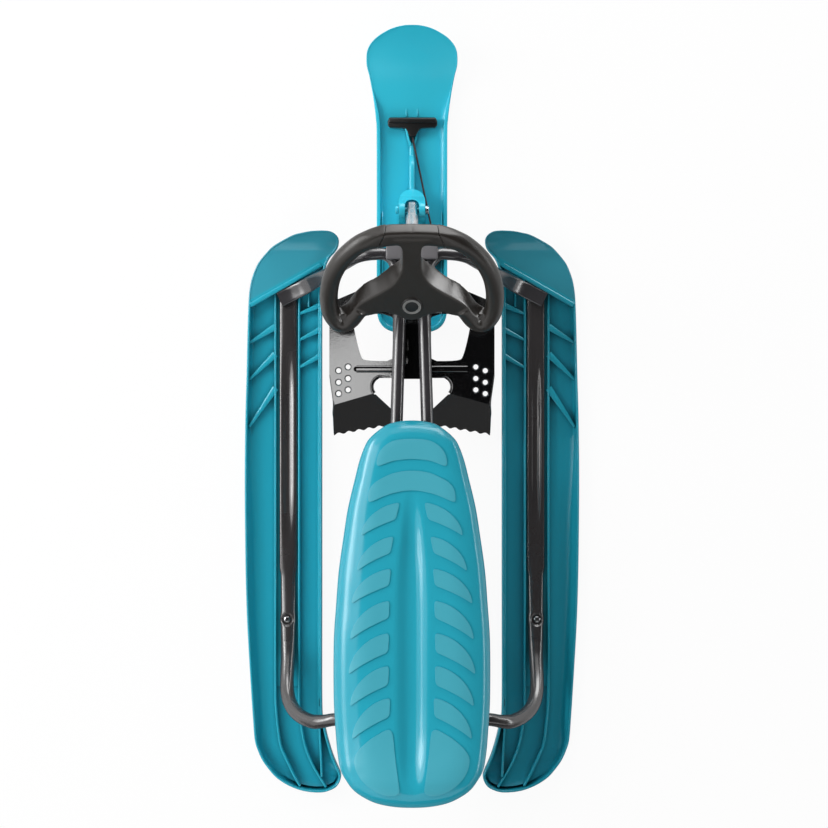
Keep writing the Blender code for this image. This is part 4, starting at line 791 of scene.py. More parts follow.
class NodePaint(NodeGraph):
    """Builds a material from a Principled shader and Object coordinates."""

    def __init__(self, name: str) -> None:
        """Starts a material.

        Args:
            name: Its name.
        """
        self.material = bpy.data.materials.new(name)
        super().__init__(self.material, empty=False)
        self.shader = self.tree.nodes["Principled BSDF"]
        self.coordinates = self.add("TexCoord", {}).outputs

    def set(self, **values: object) -> None:
        """Feeds the shader's inputs, named with underscores for spaces."""
        for key, value in values.items():
            self.feed(self.shader, key.replace("_", " "), value)

    def noise(self, scale: float, detail: float = 3.0,
              stretch: tuple = (1.0, 1.0, 1.0)) -> Socket:
        """Adds a noise texture.

        Args:
            scale: Cells per metre.
            detail: Octaves.
            stretch: Scale along each axis.

        Returns:
            The noise's factor socket.
        """
        mapping = self.add("Mapping", {"Vector": self.coordinates["Object"], "Scale": stretch})
        return self.add("TexNoise", {"Vector": mapping.outputs["Vector"], "Scale": scale,
                                     "Detail": detail}).outputs["Fac"]

    def remap(self, socket: Socket, low: float, high: float, start: float = 0.3,
              end: float = 0.7) -> Socket:
        """Maps a factor to a range.

        Args:
            socket: The factor.
            low: Value at start.
            high: Value at end.
            start: Factor that gives low.
            end: Factor that gives high.

        Returns:
            The mapped socket.
        """
        return self.add("MapRange", {"Value": socket, "From Min": start, "From Max": end,
                                     "To Min": low, "To Max": high}).outputs["Result"]

    def blend(self, factor: Socket, first: Colour | Socket, second: Colour | Socket) -> Socket:
        """Mixes two colours.

        Args:
            factor: Share of the second colour.
            first: Linear colour or colour socket.
            second: Linear colour or colour socket.

        Returns:
            The colour socket.
        """
        a, b = (c if isinstance(c, Socket) else (*c, 1.0) for c in (first, second))
        return self.add("Mix", {0: factor, 6: a, 7: b}, data_type="RGBA").outputs[2]

    def deepen(self, shade: Socket, shade_colour: Colour, reach: float) -> Socket:
        """Paints shade into a colour in crevices and beside touching parts, by ambient occlusion.

        Args:
            shade: The colour socket.
            shade_colour: Linear colour of the painted shade, deepest in crevices.
            reach: Distance within which nearby surfaces shade a point, in metres.

        Returns:
            The colour socket.
        """
        cover = self.add("AmbientOcclusion", {"Distance": reach}, samples=8)
        return self.blend(self.remap(cover.outputs["AO"], 0.0, 1.0, 0.05, 0.75), shade_colour, shade)

    def past_line(self, shade: Socket, other: Colour) -> Socket:
        """Paints a darker, greyer colour as shade on the ski noses in front of the slanting ridge.

        Args:
            shade: The colour socket.
            other: Darker linear colour painted as shade in front of the ridge.

        Returns:
            The colour socket.
        """
        split = self.add("SeparateXYZ", {"Vector": self.coordinates["Object"]}).outputs
        side = self.add("Math", {0: split["X"]}, operation="ABSOLUTE")
        total = self.add("Math", {0: side.outputs[0], 1: RIDGE_SLOPE, 2: split["Y"]},
                         operation="MULTIPLY_ADD")
        front = self.remap(total.outputs[0], 0.0, 0.85, RIDGE_LEVEL, RIDGE_LEVEL + 0.004)
        return self.blend(front, shade, other)

    def bump(self, *layers: tuple[Socket, float]) -> None:
        """Stacks bump layers on the shader's normal.

        Args:
            *layers: Height sockets and their heights in metres.
        """
        normal = None
        for socket, height in layers:
            node = self.add("Bump", {"Strength": 1.0, "Distance": height, "Height": socket})
            if normal is not None:
                self.feed(node, "Normal", normal)
            normal = node.outputs["Normal"]
        self.feed(self.shader, "Normal", normal)


@dataclass(frozen=True)
class MouldedPlastic:
    """Coloured moulded plastic with slight flow marks and handling wear in its gloss, and painted
    shade where asked: in crevices and on the rear skis' noses.
    """

    name: str
    colour: Colour
    deeper: Colour
    roughness: float
    grain: Grain = Grain.POLISHED
    specular: float = 0.5
    # Reach of the painted shade in crevices; 0 leaves it off.
    crevice: float = 0.0
    # Darker colour painted as shade on the rear skis' nose decks; None leaves it off.
    deck: Colour | None = None

    def build(self) -> Material:
        """Makes the material."""
        paint = NodePaint(self.name)
        flow = paint.noise(9.0, 2.0, (1.0, 0.35, 1.0))
        wear = paint.noise(60.0)
        shade = paint.blend(paint.remap(flow, 0.0, 1.0, 0.35, 0.68), self.colour, self.deeper)
        # Painted shade: the nose decks in front of the slanting ridge get a darker, greyer colour.
        if self.deck:
            shade = paint.past_line(shade, self.deck)
        # Painted shade: ambient occlusion darkens the colour in crevices and beside touching
        # parts.
        if self.crevice:
            shade = paint.deepen(shade, tuple(c * 0.38 for c in self.deeper), self.crevice)
        gloss = paint.remap(wear, self.roughness * 0.93, self.roughness * 1.10, 0.2, 0.8)
        paint.bump((paint.noise(self.grain.scale), self.grain.height))
        paint.set(Base_Color=shade, Roughness=gloss, Specular_IOR_Level=self.specular)
        return paint.material


@dataclass(frozen=True)
class PaintedSteel:
    """Sprayed enamel on steel, with faint orange peel and dust in the gloss."""

    name: str
    colour: Colour
    deeper: Colour
    roughness: float
    ior: float

    def build(self) -> Material:
        """Makes the material."""
        paint = NodePaint(self.name)
        mottle = paint.remap(paint.noise(14.0, 4.0), 0.0, 1.0)
        dust = paint.noise(700.0, 2.0)
        gloss = paint.remap(dust, self.roughness * 0.85, self.roughness * 1.25)
        paint.bump((paint.noise(Grain.SPRAYED.scale, 2.0), Grain.SPRAYED.height))
        paint.set(Base_Color=paint.blend(mottle, self.colour, self.deeper), Roughness=gloss,
                  IOR=self.ior)
        return paint.material


@dataclass(frozen=True)
class PlatedSteel:
    """Bright zinc plating with fine turning marks and cloudy patches."""

    name: str
    colour: Colour = (0.62, 0.63, 0.65)
    roughness: float = 0.24

    def build(self) -> Material:
        """Makes the material."""
        paint = NodePaint(self.name)
        cloud = paint.noise(90.0, 4.0)
        marks = paint.noise(300.0, 2.0, (1.0, 8.0, 8.0))
        shade = paint.blend(paint.remap(cloud, 0.0, 1.0), self.colour,
                            tuple(c * 0.72 for c in self.colour))
        gloss = paint.remap(cloud, self.roughness * 0.8, self.roughness * 1.4)
        paint.bump((marks, 0.00003))
        paint.set(Base_Color=shade, Roughness=gloss, Metallic=1.0)
        return paint.material


@dataclass(frozen=True)
class BraidedCord:
    """Black braid: a diamond weave that follows the cord's own map."""

    name: str
    colour: Colour = (0.012, 0.012, 0.013)
    fleck: Colour = (0.16, 0.035, 0.02)

    def build(self) -> Material:
        """Makes the material."""
        paint = NodePaint(self.name)
        mapping = paint.add("Mapping", {"Vector": paint.coordinates["UV"],
                                        "Scale": (4.0, 90.0, 1.0),
                                        "Rotation": (0.0, 0.0, math.radians(45.0))})
        checks = paint.add("TexChecker", {"Vector": mapping.outputs["Vector"], "Scale": 1.0})
        flecks = paint.remap(paint.noise(420.0, 2.0), 0.0, 0.8, 0.5, 0.72)
        paint.bump((checks.outputs["Fac"], 0.0003), (paint.noise(3000.0, 1.0), 0.0001))
        paint.set(Base_Color=paint.blend(flecks, self.colour, self.fleck), Roughness=0.75,
                  Sheen_Weight=0.2)
        return paint.material


class Finishes:
    """All finishes of the sled, built once."""

    def __init__(self) -> None:
        """Builds the materials."""
        satin, leather = Grain.SATIN, Grain.LEATHER
        self.seat = MouldedPlastic(
            "seat_gloss", (0.020, 0.360, 0.480), (0.019, 0.350, 0.467), 0.15).build()
        self.pad = MouldedPlastic(
            "seat_pad_satin", (0.047, 0.378, 0.478), (0.044, 0.366, 0.464), 0.44, satin,
            0.55).build()
        # Rear skis: painted shade in crevices and beside the rails, and a darker painted shade on
        # the nose decks.
        self.rear_ski = MouldedPlastic(
            "rear_ski_gloss", (0.016, 0.370, 0.494), (0.018, 0.358, 0.480), 0.20,
            crevice=0.014, deck=(0.044, 0.300, 0.395)).build()
        # Front ski: painted shade in its crevices.
        self.front_ski = MouldedPlastic(
            "front_ski_gloss", (0.034, 0.550, 0.720), (0.031, 0.520, 0.690), 0.24,
            crevice=0.010).build()
        self.wheel = MouldedPlastic(
            "wheel_satin_black", (0.0192, 0.0160, 0.0136), (0.0176, 0.0146, 0.0124), 0.30,
            satin, 0.66).build()
        self.grip = MouldedPlastic(
            "grip_soft_black", (0.0178, 0.0148, 0.0124), (0.0162, 0.0134, 0.0112), 0.35,
            leather, 0.62).build()
        self.black = MouldedPlastic(
            "black_plastic", (0.010, 0.010, 0.010), (0.007, 0.007, 0.007), 0.36,
            satin).build()
        self.badge = MouldedPlastic(
            "badge_grey", (0.180, 0.180, 0.175), (0.160, 0.160, 0.155), 0.30, satin).build()
        # Painted shade: a matt black that stands for the shadow inside the brake bead's open end.
        self.dull = MouldedPlastic(
            "unlit_black", (0.004, 0.004, 0.004), (0.003, 0.003, 0.003), 0.8, satin,
            0.1).build()
        self.block = MouldedPlastic(
            "head_block_grey", (0.175, 0.170, 0.180), (0.160, 0.156, 0.165), 0.34,
            satin).build()
        self.bush = MouldedPlastic(
            "bush_plastic", (0.60, 0.60, 0.57), (0.52, 0.52, 0.49), 0.4, satin).build()
        self.tube = PaintedSteel(
            "tube_paint", (0.042, 0.040, 0.044), (0.034, 0.032, 0.035), 0.18, 1.9).build()
        self.rail = PaintedSteel(
            "rail_paint", (0.042, 0.038, 0.039), (0.033, 0.030, 0.031), 0.20, 1.9).build()
        self.enamel = PaintedSteel(
            "brake_enamel", (0.0040, 0.0040, 0.0044), (0.0030, 0.0030, 0.0034), 0.09,
            1.8).build()
        self.zinc = PlatedSteel("zinc_plating").build()
        self.cord = BraidedCord("cord_braid").build()


def dress(obj: Obj, material: Material) -> None:
    """Gives a whole object one material."""
    obj.data.materials.clear()
    obj.data.materials.append(material)


def place_piece(obj: Obj, material: Material, body: Body, slot: str, *nodes: str) -> Obj:
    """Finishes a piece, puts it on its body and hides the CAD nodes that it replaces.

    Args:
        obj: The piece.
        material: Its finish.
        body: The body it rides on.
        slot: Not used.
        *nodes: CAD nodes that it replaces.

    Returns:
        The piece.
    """
    dress(obj, material)
    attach(obj, body.value)
    if nodes:
        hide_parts(*nodes)
    log.info("%s: %d faces", obj.name, len(obj.data.polygons))
    return obj


def place_pair(right: Obj, left_name: str, degrees: float, material: Material, body: Body,
               slot: str, node: str) -> None:
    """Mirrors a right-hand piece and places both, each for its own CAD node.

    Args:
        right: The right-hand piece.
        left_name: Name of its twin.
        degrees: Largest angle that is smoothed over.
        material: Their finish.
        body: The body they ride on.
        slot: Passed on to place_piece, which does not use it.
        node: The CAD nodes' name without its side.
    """
    left = Bench.mirror(right, left_name)
    for side, obj in ((Side.RIGHT, right), (Side.LEFT, left)):
        place_piece(Bench.smooth(obj, degrees), material, body, slot, f"{side.label}_{node}")


@dataclass
class ColumnFrame:
    """The steering column's own frame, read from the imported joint."""

    hub_distance: float = 0.2133
    pivot: Vector = field(init=False)
    lean: float = field(init=False)

    def __post_init__(self) -> None:
        """Reads the steering joint."""
        joint = next(j for j in frame["joints"] if j["name"] == "steer")
        self.pivot = Vector(joint["pos_m"])
        axis = Vector(joint["axis"]).normalized()
        self.lean = math.atan2(-axis.y, axis.z)

    def point(self, distance: float, across: float = 0.0, up: float = 0.0) -> Vector:
        """Point at a distance from the axle, across and up in the wheel's plane."""
        s, c = math.sin(self.lean), math.cos(self.lean)
        return self.pivot + Vector((across, -s * distance + c * up, c * distance + s * up))

    @property
    def axis(self) -> Vector:
        """Direction of the column, up towards the rider."""
        return self.point(1.0) - self.point(0.0)

    def wheel(self, u: float, v: float, w: float = 0.0) -> Vector:
        """Point in the wheel's plane: u to the right, v up the wheel, w towards the rider."""
        return self.point(self.hub_distance + w, u, v)


@dataclass
class TwoEdgedShell:
    """A long moulding between a right and a left edge that meet at both ends.

    The section runs from the right edge's foot over its rim, across the floor and over the
    left rim. Its points are given as inset from the edge and height.
    """

    right: list[Vector]
    left: list[Vector]
    rim: Callable[[float, float], list[PlanPoint]]
    floor: Callable[[Vector], float]
    base: Callable[[float], float]
    inner_cells: int
    closed: bool = True

    def _rim_points(self, edge: list[Vector], i: int, sign: float) -> list[Vector]:
        """The rim's section at one point of an edge.

        Args:
            edge: The edge.
            i: Number of the point.
            sign: 1 on the right edge and -1 on the left one.

        Returns:
            The section's points.
        """
        inward = Vector((0.0, 1.0 if i else -1.0, 0.0))
        if 0 < i < len(edge) - 1:
            along = edge[i + 1] - edge[i - 1]
            inward = (Vector((along.y, -along.x, 0.0)) * sign).normalized()
        result = []
        for inset, height in self.rim(edge[i].x, edge[i].y):
            p = edge[i] + inward * inset
            p.z = self.base(p.y) + height
            result.append(p)
        result[-1].z = self.floor(result[-1])
        return result

    def build(self, name: str) -> Obj:
        """Makes the moulding's mesh.

        Args:
            name: Name of the object.

        Returns:
            The closed moulding, or an open skin if closed is off.
        """
        rows: list[list[Vector]] = []
        for i in range(len(self.right)):
            right = self._rim_points(self.right, i, 1.0)
            left = self._rim_points(self.left, i, -1.0)
            floor = [right[-1].lerp(left[-1], k / self.inner_cells)
                     for k in range(1, self.inner_cells)]
            for p in floor:
                p.z = self.floor(p)
            rows.append(right + floor + left[::-1])
        return Bench.loft(name, rows, self.closed)


@dataclass
class Seat:
    """The moulded seat: shell, satin pads and the saddles under it."""

    edge: Plan = plan(
        0, -13.2, 19, -14.6, 35, -18.6, 47, -25.8, 59.9, -36.4, 69, -48.3, 78.2, -72.1, 85.4, -100,
        95.7, -143.6, 102.3, -185, 109.8, -238.9, 113.8, -290, 117.3, -346.2, 117.3, -429.6, 114.2,
        -481, 111.3, -512, 106.6, -536, 97.5, -552, 88, -564, 74.1, -574.2, 54, -583.8, 28, -589.3,
        0, -590.8)
    crown: Table = Table(
        -592, 233.8, -575, 233.5, -555, 230, -535, 224.5, -510, 219, -477.3, 214.5, -429.6, 211,
        -346.2, 208.5, -238.9, 205.5, -143.6, 201.5, -100, 199.2, -50, 197.2, -13, 196.5)
    channel_half: Table = Table(
        -585, 16, -540, 21, -480, 24.5, -300, 26, -240, 23.5, -180, 17.5, -125, 12)
    channel_depth: float = 0.0088
    shoulder_width: float = 0.065
    shoulder_drop: float = 0.0215
    wall: float = 0.0030
    insets: tuple[float, ...] = (0.0, 0.0002, 0.0006, 0.0012, 0.0021, 0.0034, 0.0052, 0.0076,
                                 0.0105, 0.0140, 0.0180, 0.0225)
    stations: int = 200
    across: int = 40
    pad_rise: float = 0.0019
    pad_thickness: float = 0.0024
    front_bands: tuple[Plan, ...] = (
        plan(
            0, -40.5, 19.5, -41.5, 33.5, -45.5, 44.7, -54.5, 50.3, -63.7, 53.2, -76, 51.2, -82.2,
            38.5, -77.3, 26.6, -72.8, 0, -70.2),
        plan(
            0, -87.3, 26.6, -90.8, 44.7, -99, 57.3, -107, 63.6, -116, 65.4, -129, 64.5, -134.8, 59,
            -134, 37.3, -124, 16, -118.7, 0, -117.2))
    chevrons: Plan = plan(
        18.3, -135.8, 23.8, -160.5, 76, -185.6, 27.2, -186.4, 32.2, -210.8, 82.2, -238, 31, -234.3,
        34, -259, 90.5, -287, 33.2, -282, 34.2, -307.2, 92.5, -340.4, 34, -330, 35.2, -358, 94.8,
        -392, 34, -378.6, 35.2, -406.6, 92.5, -439.6, 32.2, -426.3, 33.3, -453.6, 89.5, -488)
    rear_pad: Plan = plan(
        35, -472.3, 44.3, -476.3, 61.9, -486.8, 75.5, -498.7, 84.3, -510.3, 86.2, -520, 83.4,
        -533.8, 73.6, -549.5, 56.1, -562.9, 40.3, -569.9, 24.9, -569.9, 17.9, -565, 19, -555.3,
        24.9, -514.2, 27.7, -483.1, 29.8, -475.3)
    saddles: tuple[PlanPoint, ...] = ((-0.1250, 0.0500), (-0.4000, 0.0680))
    saddle_length: float = 0.018

    def outline(self) -> list[Vector]:
        """The right edge from the front to the rear end."""
        return half_edge(self.edge, 12, self.stations)

    def edge_distance(self) -> Callable[[float, float], float]:
        """Gives the function that measures how far a plan point is from the seat's edge."""
        right = self.outline()
        tree = KDTree(2 * len(right))
        for i, p in enumerate(right + mirrored(right)):
            tree.insert(p, i)
        tree.balance()
        return lambda x, y: tree.find((x, y, 0.0))[2]

    def height(self, x: float, y: float, inset: float) -> float:
        """Height of the seat's top skin.

        Args:
            x: Place across.
            y: Place along.
            inset: Distance from the nearest edge.

        Returns:
            The height in metres.
        """
        scale = 0.60 + 0.40 * smooth_step(-y, 0.02, 0.30)
        share = max(1.0 - inset / (self.shoulder_width * scale), 0.0)
        drop = self.shoulder_drop * scale * share ** 2.6
        radius = 0.0045 + 0.0065 * smooth_step(-y, 0.02, 0.10)
        if inset < radius:
            drop += radius - math.sqrt(max(radius ** 2 - (radius - inset) ** 2, 0.0))
        half = self.channel_half(y)
        if abs(x) < half:
            depth = self.channel_depth * smooth_step(-y, 0.105, 0.215)
            depth *= 1.0 - smooth_step(-y, 0.505, 0.583)
            drop += depth * (1.0 - smooth_step(abs(x), half * 0.15, half))
        return self.crown(y) - drop

    def skin(self) -> Obj:
        """The seat's top surface as an open skin."""
        inset = self.edge_distance()
        right = self.outline()

        def floor(p: Vector) -> float:
            """Height of an inner point."""
            return self.height(p.x, p.y, max(inset(p.x, p.y), self.insets[-1]))

        def rim(x: float, y: float) -> list[PlanPoint]:
            """Heights near the edge."""
            return [(step, step) for step in self.insets]

        obj = TwoEdgedShell(right, mirrored(right), rim, floor, lambda y: 0.0, self.across,
                            False).build("seat_shell")
        for vertex in obj.data.vertices:
            x, y = vertex.co.xy
            vertex.co.z = self.height(x, y, inset(x, y))
        return self._thicken(obj, self.wall)

    @staticmethod
    def _thicken(obj: Obj, thickness: float) -> Obj:
        """Turns an open skin's faces upwards and gives it a wall below them.

        Args:
            obj: The skin.
            thickness: Thickness of the wall.

        Returns:
            The closed piece.
        """
        if sum(p.normal.z * p.area for p in obj.data.polygons) < 0.0:
            with Bench.editing(obj):
                bpy.ops.mesh.flip_normals()
        return Bench.alter(obj, "SOLIDIFY", thickness=thickness, offset=-1.0,
                           use_even_offset=False)

    @staticmethod
    def _cubic(p: Sequence[Vector], count: int) -> list[Vector]:
        """Points of one Bezier curve, without its end.

        Args:
            p: Its four control points.
            count: Number of points.

        Returns:
            The points.
        """
        result = []
        for i in range(count):
            t = i / count
            result.append(p[0] * (1 - t) ** 3 + p[1] * (3 * t * (1 - t) ** 2)
                          + p[2] * (3 * t * t * (1 - t)) + p[3] * t ** 3)
        return result

    def chevron(self, top: Vector, low: Vector, tip: Vector) -> list[PlanPoint]:
        """Outline of one right-hand chevron pad.

        Args:
            top: Its inner corner in front.
            low: Its inner corner behind.
            tip: Its outer end.

        Returns:
            The plan outline.
        """
        span, back = tip - top, low - tip
        upper = self._cubic([top, top + Vector((span.x * 0.40, span.y * 0.02)),
                             top + Vector((span.x * 0.97, span.y * 0.42)), tip], 9)
        lower = self._cubic([tip, tip + Vector((back.x * 0.25, back.y * 0.38)),
                             tip + Vector((back.x * 0.60, back.y * 0.72)), low], 6)
        return softened(upper[1:] + [tip] + lower[1:] + [low, low.lerp(top, 0.5), top])

    def blank(self) -> Obj:
        """A slab that follows the seat's surface a little above it."""
        inset = self.edge_distance()
        low, high = Vector((-0.100, -0.578)), Vector((0.100, -0.036))
        columns, rows = 110, 290

        def place(column: int, row: int) -> Vector:
            """Point of the slab's upper side."""
            x = low.x + (high.x - low.x) * column / columns
            y = low.y + (high.y - low.y) * row / rows
            return Vector((x, y, self.height(x, y, inset(x, y)) + self.pad_rise))

        return self._thicken(Bench.sheet("seat_pads", columns, rows, place),
                             self.pad_thickness)

    def pads(self) -> Obj:
        """All satin pads, cut from a slab a little above the seat."""
        outlines = [softened(whole(band)) for band in self.front_bands]
        corners = [Vector(p) for p in self.chevrons]
        rights = [self.chevron(*corners[i:i + 3]) for i in range(0, len(corners), 3)]
        for outline in [*rights, softened(self.rear_pad)]:
            outlines += [side.turned(outline) for side in Side]
        tools = [Bench.extruded("pad_cutter", outline, 0.12, 0.26) for outline in outlines]
        blank = self.blank()
        Bench.combine(blank, Bench.merge("pad_cutters", tools), Keep.INSIDE)
        return Bench.smooth(Bench.bevel(blank, 0.0011, 2, 50.0), 40.0)

    def _saddle(self, label: str, y: float, half: float) -> Obj:
        """A rounded saddle block with its screw boss.

        Args:
            label: front or rear.
            y: Place along the sled.
            half: Half its width.

        Returns:
            The saddle.
        """
        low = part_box(f"{label}_seat_clamp")[1].z + 0.0095
        top = self.height(0.0, y, 0.1) - self.wall * 0.5
        reach = self.saddle_length / 2.0
        block = Bench.block("saddle", (-half, y - reach, low), (half, y + reach, top), 0.0015)
        foot = Vector((0.0, y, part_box(f"{label}_seat_screw")[1].z - 0.016))
        boss = Bench.lathe("boss", foot, UP, plan(0, 2.9, 0, 7, 0.5, 7.5, 20, 7.5, 20, 0), 32)
        return Bench.merge(f"{label}_saddle", [block, boss])

    def dress(self, finishes: Finishes) -> None:
        """Builds and dresses the seat.

        Args:
            finishes: All finishes.
        """
        parts = [self.skin()]
        for label, (y, half) in zip(("front", "rear"), self.saddles):
            parts.append(self._saddle(label, y, half))
        seat = Bench.smooth(Bench.merge("seat_shell", parts), 50.0)
        place_piece(seat, finishes.seat, Body.FRAME, "seat_plastic", "seat")
        place_piece(self.pads(), finishes.pad, Body.FRAME, "seat_plastic")


@dataclass
class FrameTubes:
    """Both bent frame tubes and the rear hoop with its flattened rails."""

    radius: float = 0.0095
    sides: int = 40
    brace_end: PlanPoint = (0.2068, 0.1747)
    brace_knee_x: float = 0.172
    brace_crest: tuple[float, float, float] = (0.0785, 0.2370, 0.1500)
    head_bend: tuple[float, float, float] = (0.0272, 0.2400, 0.1520)
    head_kink: PlanPoint = (0.0178, 0.1560)
    rear_x: float = 0.0374
    bends: tuple[float, ...] = (0.060, 0.040, 0.022, 0.080)
    end_half_width: float = 0.0118
    end_thickness: float = 0.0090
    overhang: float = 0.0115
    rail_x: float = 0.1936
    rail_width: float = 0.0272
    rail_thickness: float = 0.009
    rail_front_y: float = 0.182
    neck_y: float = -0.2500
    bolt_y: float = -0.3246
    rise_y: float = -0.3600
    hoop_radius: float = 0.0110
    bolt_x: float = 0.195
    hoop_bend: tuple[tuple[float, float, float], ...] = (
        (0.1936, -0.3850, 0.0275), (0.1942, -0.4170, 0.0440), (0.1920, -0.4384, 0.0600),
        (0.1847, -0.4546, 0.0780), (0.1712, -0.4660, 0.0980), (0.1531, -0.4718, 0.1180),
        (0.1374, -0.4705, 0.1320), (0.1162, -0.4660, 0.1430), (0.0850, -0.4645, 0.1490),
        (0.0400, -0.4645, 0.1500), (0.0, -0.4645, 0.1500))
    cross_y: float = -0.4645
    cross_z: float = 0.150
    bed: float = 0.0090
    gap: float = 0.0003
    rail_steps: int = 230

    @property
    def rail_top(self) -> float:
        """Height of the flattened rail's top."""
        return self.bed + self.gap + self.rail_thickness

    def tube_z(self, y: float) -> float:
        """Height of the centre tubes' axis.

        Args:
            y: Place along the sled.

        Returns:
            The height.
        """
        rear = self.cross_z + 2.0 * self.radius + self.gap
        share = (self.head_bend[1] - y) / (self.head_bend[1] - self.cross_y)
        return self.head_bend[2] + (rear - self.head_bend[2]) * share

    def tube_x(self, y: float) -> float:
        """Distance of the centre tubes' axis from the middle."""
        share = (self.head_kink[1] - y) / (self.head_kink[1] - self.cross_y)
        return self.head_kink[0] + (self.rear_x - self.head_kink[0]) * share

    def frame_path(self) -> list[Vector]:
        """Centre line of the right frame tube."""
        end_z = self.rail_top + self.gap + self.end_thickness / 2.0
        end_x, end_y = self.brace_end
        slope = (self.brace_crest[1] - end_y) / (end_x - self.brace_crest[0])
        knee_y = end_y + (end_x - self.brace_knee_x) * slope
        rear_y = self.cross_y - self.overhang
        corners = [(end_x, end_y, end_z), (self.brace_knee_x, knee_y, end_z), self.brace_crest,
                   self.head_bend, (*self.head_kink, self.tube_z(self.head_kink[1])),
                   (self.tube_x(rear_y), rear_y, self.tube_z(rear_y))]
        return fine(bent_path(corners, self.bends), 0.008)

    def frame_section(self, travelled: float) -> SectionSize:
        """Pressed flat on the rail, round from the brace's knee on.

        Args:
            travelled: Distance along the tube.

        Returns:
            The section there.
        """
        share = smooth_step(travelled, 0.055, 0.120)
        width = self.end_half_width + (self.radius - self.end_half_width) * share
        height = self.end_thickness / 2.0 + (self.radius - self.end_thickness / 2.0) * share
        return SectionSize(width, height, 6.0 - 4.0 * share, 0.0011 * (1.0 - share))

    def hoop_size(self, y: float) -> tuple[float, float, float]:
        """Half width, half height and boxiness of the hoop along its rail.

        Args:
            y: Place along the rail.

        Returns:
            The three values: flat in front, pinched at the neck, dented round the bolt.
        """
        neck = smooth_step(-y, -self.neck_y - 0.007, -self.neck_y + 0.007)
        tube = smooth_step(-y, 0.340, 0.400)
        bulge = 1.0 - smooth_step(abs(y - self.bolt_y), 0.002, 0.0125)
        wide = self.rail_width / 2.0
        wide += (0.0116 - wide) * neck + (self.hoop_radius - 0.0116) * tube + 0.0008 * bulge
        high = self.rail_thickness / 2.0
        high += (self.hoop_radius - high) * smooth_step(-y, -self.neck_y - 0.010, 0.400)
        round_share = smooth_step(-y, -self.neck_y - 0.045, -self.neck_y + 0.010)
        return wide, high, 3.2 - 0.9 * round_share - 0.3 * tube

    def hoop_path(self) -> list[Vector]:
        """Centre line of the hoop's right half."""
        step = (self.rail_front_y - self.rise_y) / self.rail_steps
        along = [self.rail_front_y - step * i for i in range(self.rail_steps)]
        rail = [Vector((self.rail_x, y, self.bed + self.gap + self.hoop_size(y)[1]))
                for y in (*along, self.rise_y)]
        return rail[:-1] + catmull([rail[-1], *(Vector(p) for p in self.hoop_bend)], 8)

    def hoop_section(self, travelled: float) -> SectionSize:
        """Flat over the skis with a pressed groove, round behind them.

        Args:
            travelled: Distance along the hoop.

        Returns:
            The section there.
        """
        y = max(self.rail_front_y - travelled, self.rise_y - 0.05)
        wide, high, power = self.hoop_size(y)
        groove = smooth_step(travelled, 0.060, 0.170)
        groove *= 1.0 - smooth_step(-y, -self.neck_y - 0.150, -self.neck_y - 0.020)
        less = 0.0013 * smooth_step(travelled, 0.720, 0.745)
        return SectionSize(wide - less, high - less, power, 0.0056 * groove)

    def dress(self, finishes: Finishes) -> None:
        """Builds and dresses the tubes.

        Args:
            finishes: All finishes.
        """
        right = Sweep(self.frame_path(), self.frame_section, self.sides, AHEAD).build(
            "right_bent_tube")
        place_pair(right, "left_bent_tube", 45.0, finishes.tube, Body.FRAME, "frame_paint",
                   "frame_tube")
        half = Sweep(self.hoop_path(), self.hoop_section, self.sides, -ACROSS, False).rings
        for point in (p for ring in half for p in ring if p.z > self.rail_top):
            away = (point.xy - Vector((self.bolt_x, self.bolt_y))).length
            if away < 0.011:
                point.z = self.rail_top + ((point.z - self.rail_top)
                                           * smooth_step(away, 0.0060, 0.0100))
        end = [sum(half[0], Vector()) / self.sides] * self.sides
        rings = [end, *half, *(mirrored(ring) for ring in reversed(half[:-1])), mirrored(end)]
        place_piece(Bench.smooth(Bench.loft("rear_hoop_tube", rings), 45.0), finishes.rail,
                    Body.FRAME, "frame_paint", "rear_hoop")


